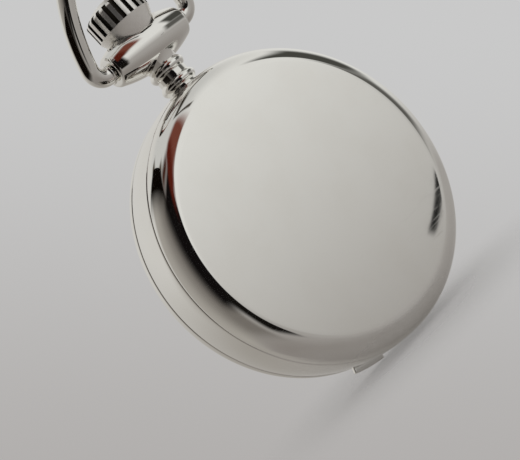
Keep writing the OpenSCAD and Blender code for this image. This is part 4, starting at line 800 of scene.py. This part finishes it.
print("stage: crown")
crownPlan = {"flutes": 21, "ridge": 4.5, "root": 3.86, "share": 0.5, "foot": 3.2, "low": 32.65,
             "skirt": 35.45, "shoulder": 38.35, "top": 39.65, "capSwell": 0.45, "edgeRound": 0.2,
             "skirtRound": 0.06, "slotGap": 0.02, "slotOver": 0.6, "slotDeep": 1.2}
bm = bmesh.new()
skirtLine = [(0, crownPlan["low"]), (crownPlan["foot"], crownPlan["low"]),
             (crownPlan["ridge"], crownPlan["skirt"])]
capLine = bulge((crownPlan["ridge"], crownPlan["shoulder"]), (0, crownPlan["top"]), crownPlan["capSwell"], 16)
rounded = ((1, crownPlan["edgeRound"]), (2, crownPlan["skirtRound"]), (3, crownPlan["edgeRound"]))
turned(bm, skirtLine + capLine, "stem", corners=rounded, steps=168)
crown = toObject(bm, "crownButton", 30)
bm = bmesh.new()
slotWidth = fullTurn * crownPlan["ridge"] / crownPlan["flutes"] * crownPlan["share"]
low, high = crownPlan["skirt"] + crownPlan["slotGap"], crownPlan["shoulder"] + crownPlan["slotOver"]
for i in range(crownPlan["flutes"]):
    turn = Matrix.Rotation(fullTurn * i / crownPlan["flutes"], 4, "Z")
    shape = Matrix.Diagonal((crownPlan["slotDeep"] * mm, slotWidth * mm, (high - low) * mm, 1))
    outward = Matrix.Translation(Vector((crownPlan["root"] + crownPlan["slotDeep"] / 2, 0, 0)) * mm)
    lift = Matrix.Translation(bench(0, (low + high) / 2, 0))
    bmesh.ops.create_cube(bm, size=1, matrix=lift @ turn @ outward @ shape)
slots = toObject(bm, "slots")
# The slots' walls take the dark metal, a painted shade for the flutes' recesses
slots.data.materials.append(slotPaintedShade)
crown.data.materials.append(crownSatin)
carve(crown, slots)
fit(crown, "crown", None, "case_metal", "crown")

print("stage: bow")
bow = {"wire": 2.6, "bend": 2.0, "halfWidth": 9.7, "lean": 5, "armRadius": 26, "armTurn": 24, "back": 22,
       "foot": 7.27, "footRound": 0.2, "footAngle": 57, "pivot": 1.7, "pivotFrom": 6.9, "pivotTo": 7.5,
       "collar": 1.38, "collarSwell": 0.12, "collarBore": 1.0, "collarWidth": 0.42, "rings": 40,
       "steps": (18, 20, 24)}
bm = bmesh.new()
pivot = bench(0, bowPivot, 0)
start = pivot + Vector((bow["foot"], 0, 0)) * mm
ring = bmesh.ops.create_circle(bm, cap_ends=False, segments=bow["rings"], radius=bow["wire"] / 2 * mm,
                               matrix=Matrix.Translation(start) @ Matrix.Rotation(math.pi / 2, 4, "Y"))
loop = list({e for v in ring["verts"] for e in v.link_edges})
pushed = bmesh.ops.extrude_edge_only(bm, edges=loop)["geom"]
ahead = Vector((bow["halfWidth"] - bow["bend"] - bow["foot"], 0, 0)) * mm
bmesh.ops.translate(bm, verts=[v for v in pushed if isinstance(v, bmesh.types.BMVert)], vec=ahead)
last = [x for x in pushed if not isinstance(x, bmesh.types.BMFace)]
bendMid = Vector((bow["halfWidth"] - bow["bend"], bow["bend"]))
lean = math.radians(bow["lean"])
armMid = bendMid - Vector((math.cos(lean), math.sin(lean))) * (bow["armRadius"] - bow["bend"])
crestAngle = math.radians(bow["lean"] + bow["armTurn"])
armEnd = armMid + Vector((math.cos(crestAngle), math.sin(crestAngle))) * bow["armRadius"]
crestMid = Vector((0, armEnd.y - armEnd.x * math.tan(crestAngle)))
arcs = [(bendMid, math.pi / 2 + lean), (armMid, math.radians(bow["armTurn"])),
        (crestMid, math.pi / 2 - crestAngle)]
for (middle, angle), steps in zip(arcs, bow["steps"]):
    swept = bmesh.ops.spin(bm, geom=last, cent=pivot + Vector((middle.x, 0, middle.y)) * mm, axis=(0, -1, 0),
                           dvec=(0, 0, 0), angle=angle, steps=steps)
    last = [x for x in swept["geom_last"] if not isinstance(x, bmesh.types.BMFace)]
bmesh.ops.remove_doubles(bm, verts=bm.verts[:], dist=1e-7)
bmesh.ops.mirror(bm, geom=bm.verts[:] + bm.edges[:] + bm.faces[:], axis="X")
bmesh.ops.remove_doubles(bm, verts=bm.verts[:], dist=1e-5)
bmesh.ops.holes_fill(bm, edges=[e for e in bm.edges if e.is_boundary])
bmesh.ops.recalc_face_normals(bm, faces=bm.faces[:])
breakEdges(bm, bow["footRound"], 4, bow["footAngle"])
for sign in (-1, 1):
    rod(bm, (sign * bow["pivotFrom"], bowPivot, 0), (sign * bow["pivotTo"], bowPivot, 0), bow["pivot"])
    near, far = sign * bow["foot"], sign * (bow["foot"] + bow["collarWidth"])
    collarLine = bulge((bow["collar"], near), (bow["collar"], far), sign * bow["collarSwell"], 8)
    turned(bm, [(bow["collarBore"], near)] + collarLine + [(bow["collarBore"], far)], "bow", closed=True,
           steps=64)
leanBack = Matrix.Rotation(-math.radians(bow["back"]), 3, "X")
bmesh.ops.rotate(bm, verts=bm.verts[:], cent=pivot, matrix=leanBack)
fit(toObject(bm, "bowLoop", 40), "bow", caseSilver, "case_metal", "bow")

print("stage: dial")
dial = {"face": 3.15, "thick": 0.02, "numeralLow": 13.9, "numeralHigh": 17.3, "bold": 0.62, "fine": 0.16,
        "serif": 0.13, "serifOver": 0.17, "trackIn": 18.0, "trackOut": 19.1, "line": 0.09, "tick": 0.11,
        "fiveTick": 0.34, "secondsAt": -8.5, "secondsFace": 3.03, "secondsIn": 3.95, "secondsOut": 4.6,
        "secondsTick": 0.07, "secondsFive": 0.13, "secondsLong": 0.25, "secondsText": 3.05, "figure": 1.15}
edges = {"dial": 0.03, "hand": 0.05, "plate": 0.07, "small": 0.04, "jewel": 0.03}
edged("dial", "enamelDial", enamel, "dial_enamel", edges["dial"])


# A printed stroke from one point to another in the plane of the dial
def stroke(bm, start, end, width, face):
    a, b = bench(*start, face), bench(*end, face)
    along = b - a
    turn = Matrix.Rotation(math.atan2(along.z, along.x), 4, Vector((0, -1, 0)))
    size = Matrix.Diagonal((along.length, 2 * dial["thick"] * mm, width * mm, 1))
    bmesh.ops.create_cube(bm, size=1, matrix=Matrix.Translation((a + b) / 2) @ turn @ size)


def ringLine(bm, radius, face, middle=(0, 0)):
    low, high = face - dial["thick"], face + dial["thick"]
    half = dial["line"] / 2
    loop = [(radius - half, low), (radius + half, low), (radius + half, high), (radius - half, high)]
    verts = [bm.verts.new(bench(middle[0] + r, middle[1], z)) for r, z in loop]
    wires = [bm.edges.new((verts[i - 1], verts[i])) for i in range(4)]
    bmesh.ops.spin(bm, geom=verts + wires, cent=bench(*middle, 0), axis=lathes["dial"][0], dvec=(0, 0, 0),
                   angle=fullTurn, steps=180, use_merge=True)


def around12(share, radius, across=0.0, middle=(0, 0)):
    angle = fullTurn * share
    return (middle[0] + radius * math.sin(angle) + across * math.cos(angle),
            middle[1] + radius * math.cos(angle) - across * math.sin(angle))


# Every stroke of a numeral as (foot, head, weight), in units of its height, and its width
letters = {"I": (((0.0, 0.0, 1),), 0.20),
           "V": (((0.0, -0.19, 1), (0.0, 0.19, 0)), 0.52),
           "X": (((0.19, -0.19, 1), (-0.19, 0.19, 0)), 0.52)}
hours = ("XII", "I", "II", "III", "IIII", "V", "VI", "VII", "VIII", "IX", "X", "XI")
bm = bmesh.new()
low, high = dial["numeralLow"], dial["numeralHigh"]
tall = high - low
for hour, text in enumerate(hours):
    share = hour / 12
    across = -sum(letters[c][1] for c in text) * tall / 2
    for c in text:
        strokes, width = letters[c]
        across += width * tall / 2
        for footShift, headShift, weight in strokes:
            foot, head = across + footShift * tall, across + headShift * tall
            wide = dial["bold"] if weight else dial["fine"]
            stroke(bm, around12(share, low, foot), around12(share, high, head), wide, dial["face"])
            half = wide / 2 + dial["serifOver"]
            for spot, radius in ((foot, low), (head, high)):
                if c == "V" and radius == low:
                    continue
                stroke(bm, around12(share, radius, spot - half), around12(share, radius, spot + half),
                       dial["serif"], dial["face"])
        across += width * tall / 2
for minute in range(60):
    wide = dial["tick"] if minute % 5 else dial["fiveTick"]
    stroke(bm, around12(minute / 60, dial["trackIn"]), around12(minute / 60, dial["trackOut"]), wide,
           dial["face"])
ringLine(bm, dial["trackIn"], dial["face"])
ringLine(bm, dial["trackOut"], dial["face"])
small = (0, dial["secondsAt"])
for second in range(60):
    inner = dial["secondsIn"] if second % 5 else dial["secondsIn"] - dial["secondsLong"]
    wide = dial["secondsTick"] if second % 5 else dial["secondsFive"]
    stroke(bm, around12(second / 60, inner, 0, small), around12(second / 60, dial["secondsOut"], 0, small),
           wide, dial["secondsFace"])
ringLine(bm, dial["secondsIn"], dial["secondsFace"], small)
ringLine(bm, dial["secondsOut"], dial["secondsFace"], small)
for second in (60, 15, 30, 45):
    figure = bpy.data.curves.new("figure", "FONT")
    figure.body = str(second)
    figure.size = dial["figure"] * mm
    figure.align_x = "CENTER"
    figure.align_y = "CENTER"
    figure.extrude = dial["thick"] * mm
    holder = bpy.data.objects.new("figure", figure)
    bpy.context.scene.collection.objects.link(holder)
    mesh = bpy.data.meshes.new_from_object(holder.evaluated_get(bpy.context.evaluated_depsgraph_get()))
    bpy.data.objects.remove(holder)
    x, y = around12(second / 60, dial["secondsText"], 0, small)
    upright = Matrix.Rotation(math.pi / 2, 4, "X")
    mesh.transform(Matrix.Translation(bench(x, y, dial["secondsFace"])) @ upright)
    bm.from_mesh(mesh)
    bpy.data.meshes.remove(mesh)
bmesh.ops.remove_doubles(bm, verts=bm.verts[:], dist=5e-8)
fit(toObject(bm, "dialPrint"), "case", ink, "dial_enamel")
for hand in ("hour", "minute", "seconds"):
    edged(hand + "_hand", hand + "Hand", bluedSteel, "blued_steel", edges["hand"], 3)

print("stage: movement")
frameParts = {"mainplate": "framePlate", "barrel_bridge": "barrelBridge", "train_bridge": "trainBridge",
              "balance_cock": "balanceCock", "pallet_bridge": "palletBridge"}
for node, name in frameParts.items():
    edged(node, name, giltPlate, "gilt_plate", edges["plate"])
for node, name in {"bridge_screws": "bridgeScrews", "case_screws": "caseScrews", "click_screw": "clickScrew",
                   "ratchet_screw": "ratchetScrew", "crown_wheel_screw": "crownWheelScrew"}.items():
    edged(node, name, bluedSteel, "blued_steel", edges["small"])
for node, name in {"click": "clickPawl", "regulator": "regulatorIndex", "setting_lever": "settingLever",
                   "yoke": "yokeArm"}.items():
    edged(node, name, steel, "steel", edges["small"])
edged("jewels", "bearingJewels", ruby, "ruby", edges["jewel"])
bare = {"crown_wheel": crownWheelSteel, "ratchet_wheel": ratchetSteel, "hairspring": bluedSteel,
        "pallet_stones": ruby, "roller": steel, "balance_wheel": wheelBrass}
brassNodes = ("barrel_drum", "barrel_cover", "centre_wheel", "third_wheel", "fourth_wheel", "minute_wheel",
              "hour_wheel")
bare.update((node, wheelBrass) for node in brassNodes)
for name in sorted(cadNodes):
    node = cadNodes[name]
    node.data.materials.clear()
    node.data.materials.append(bare.get(name, steel))
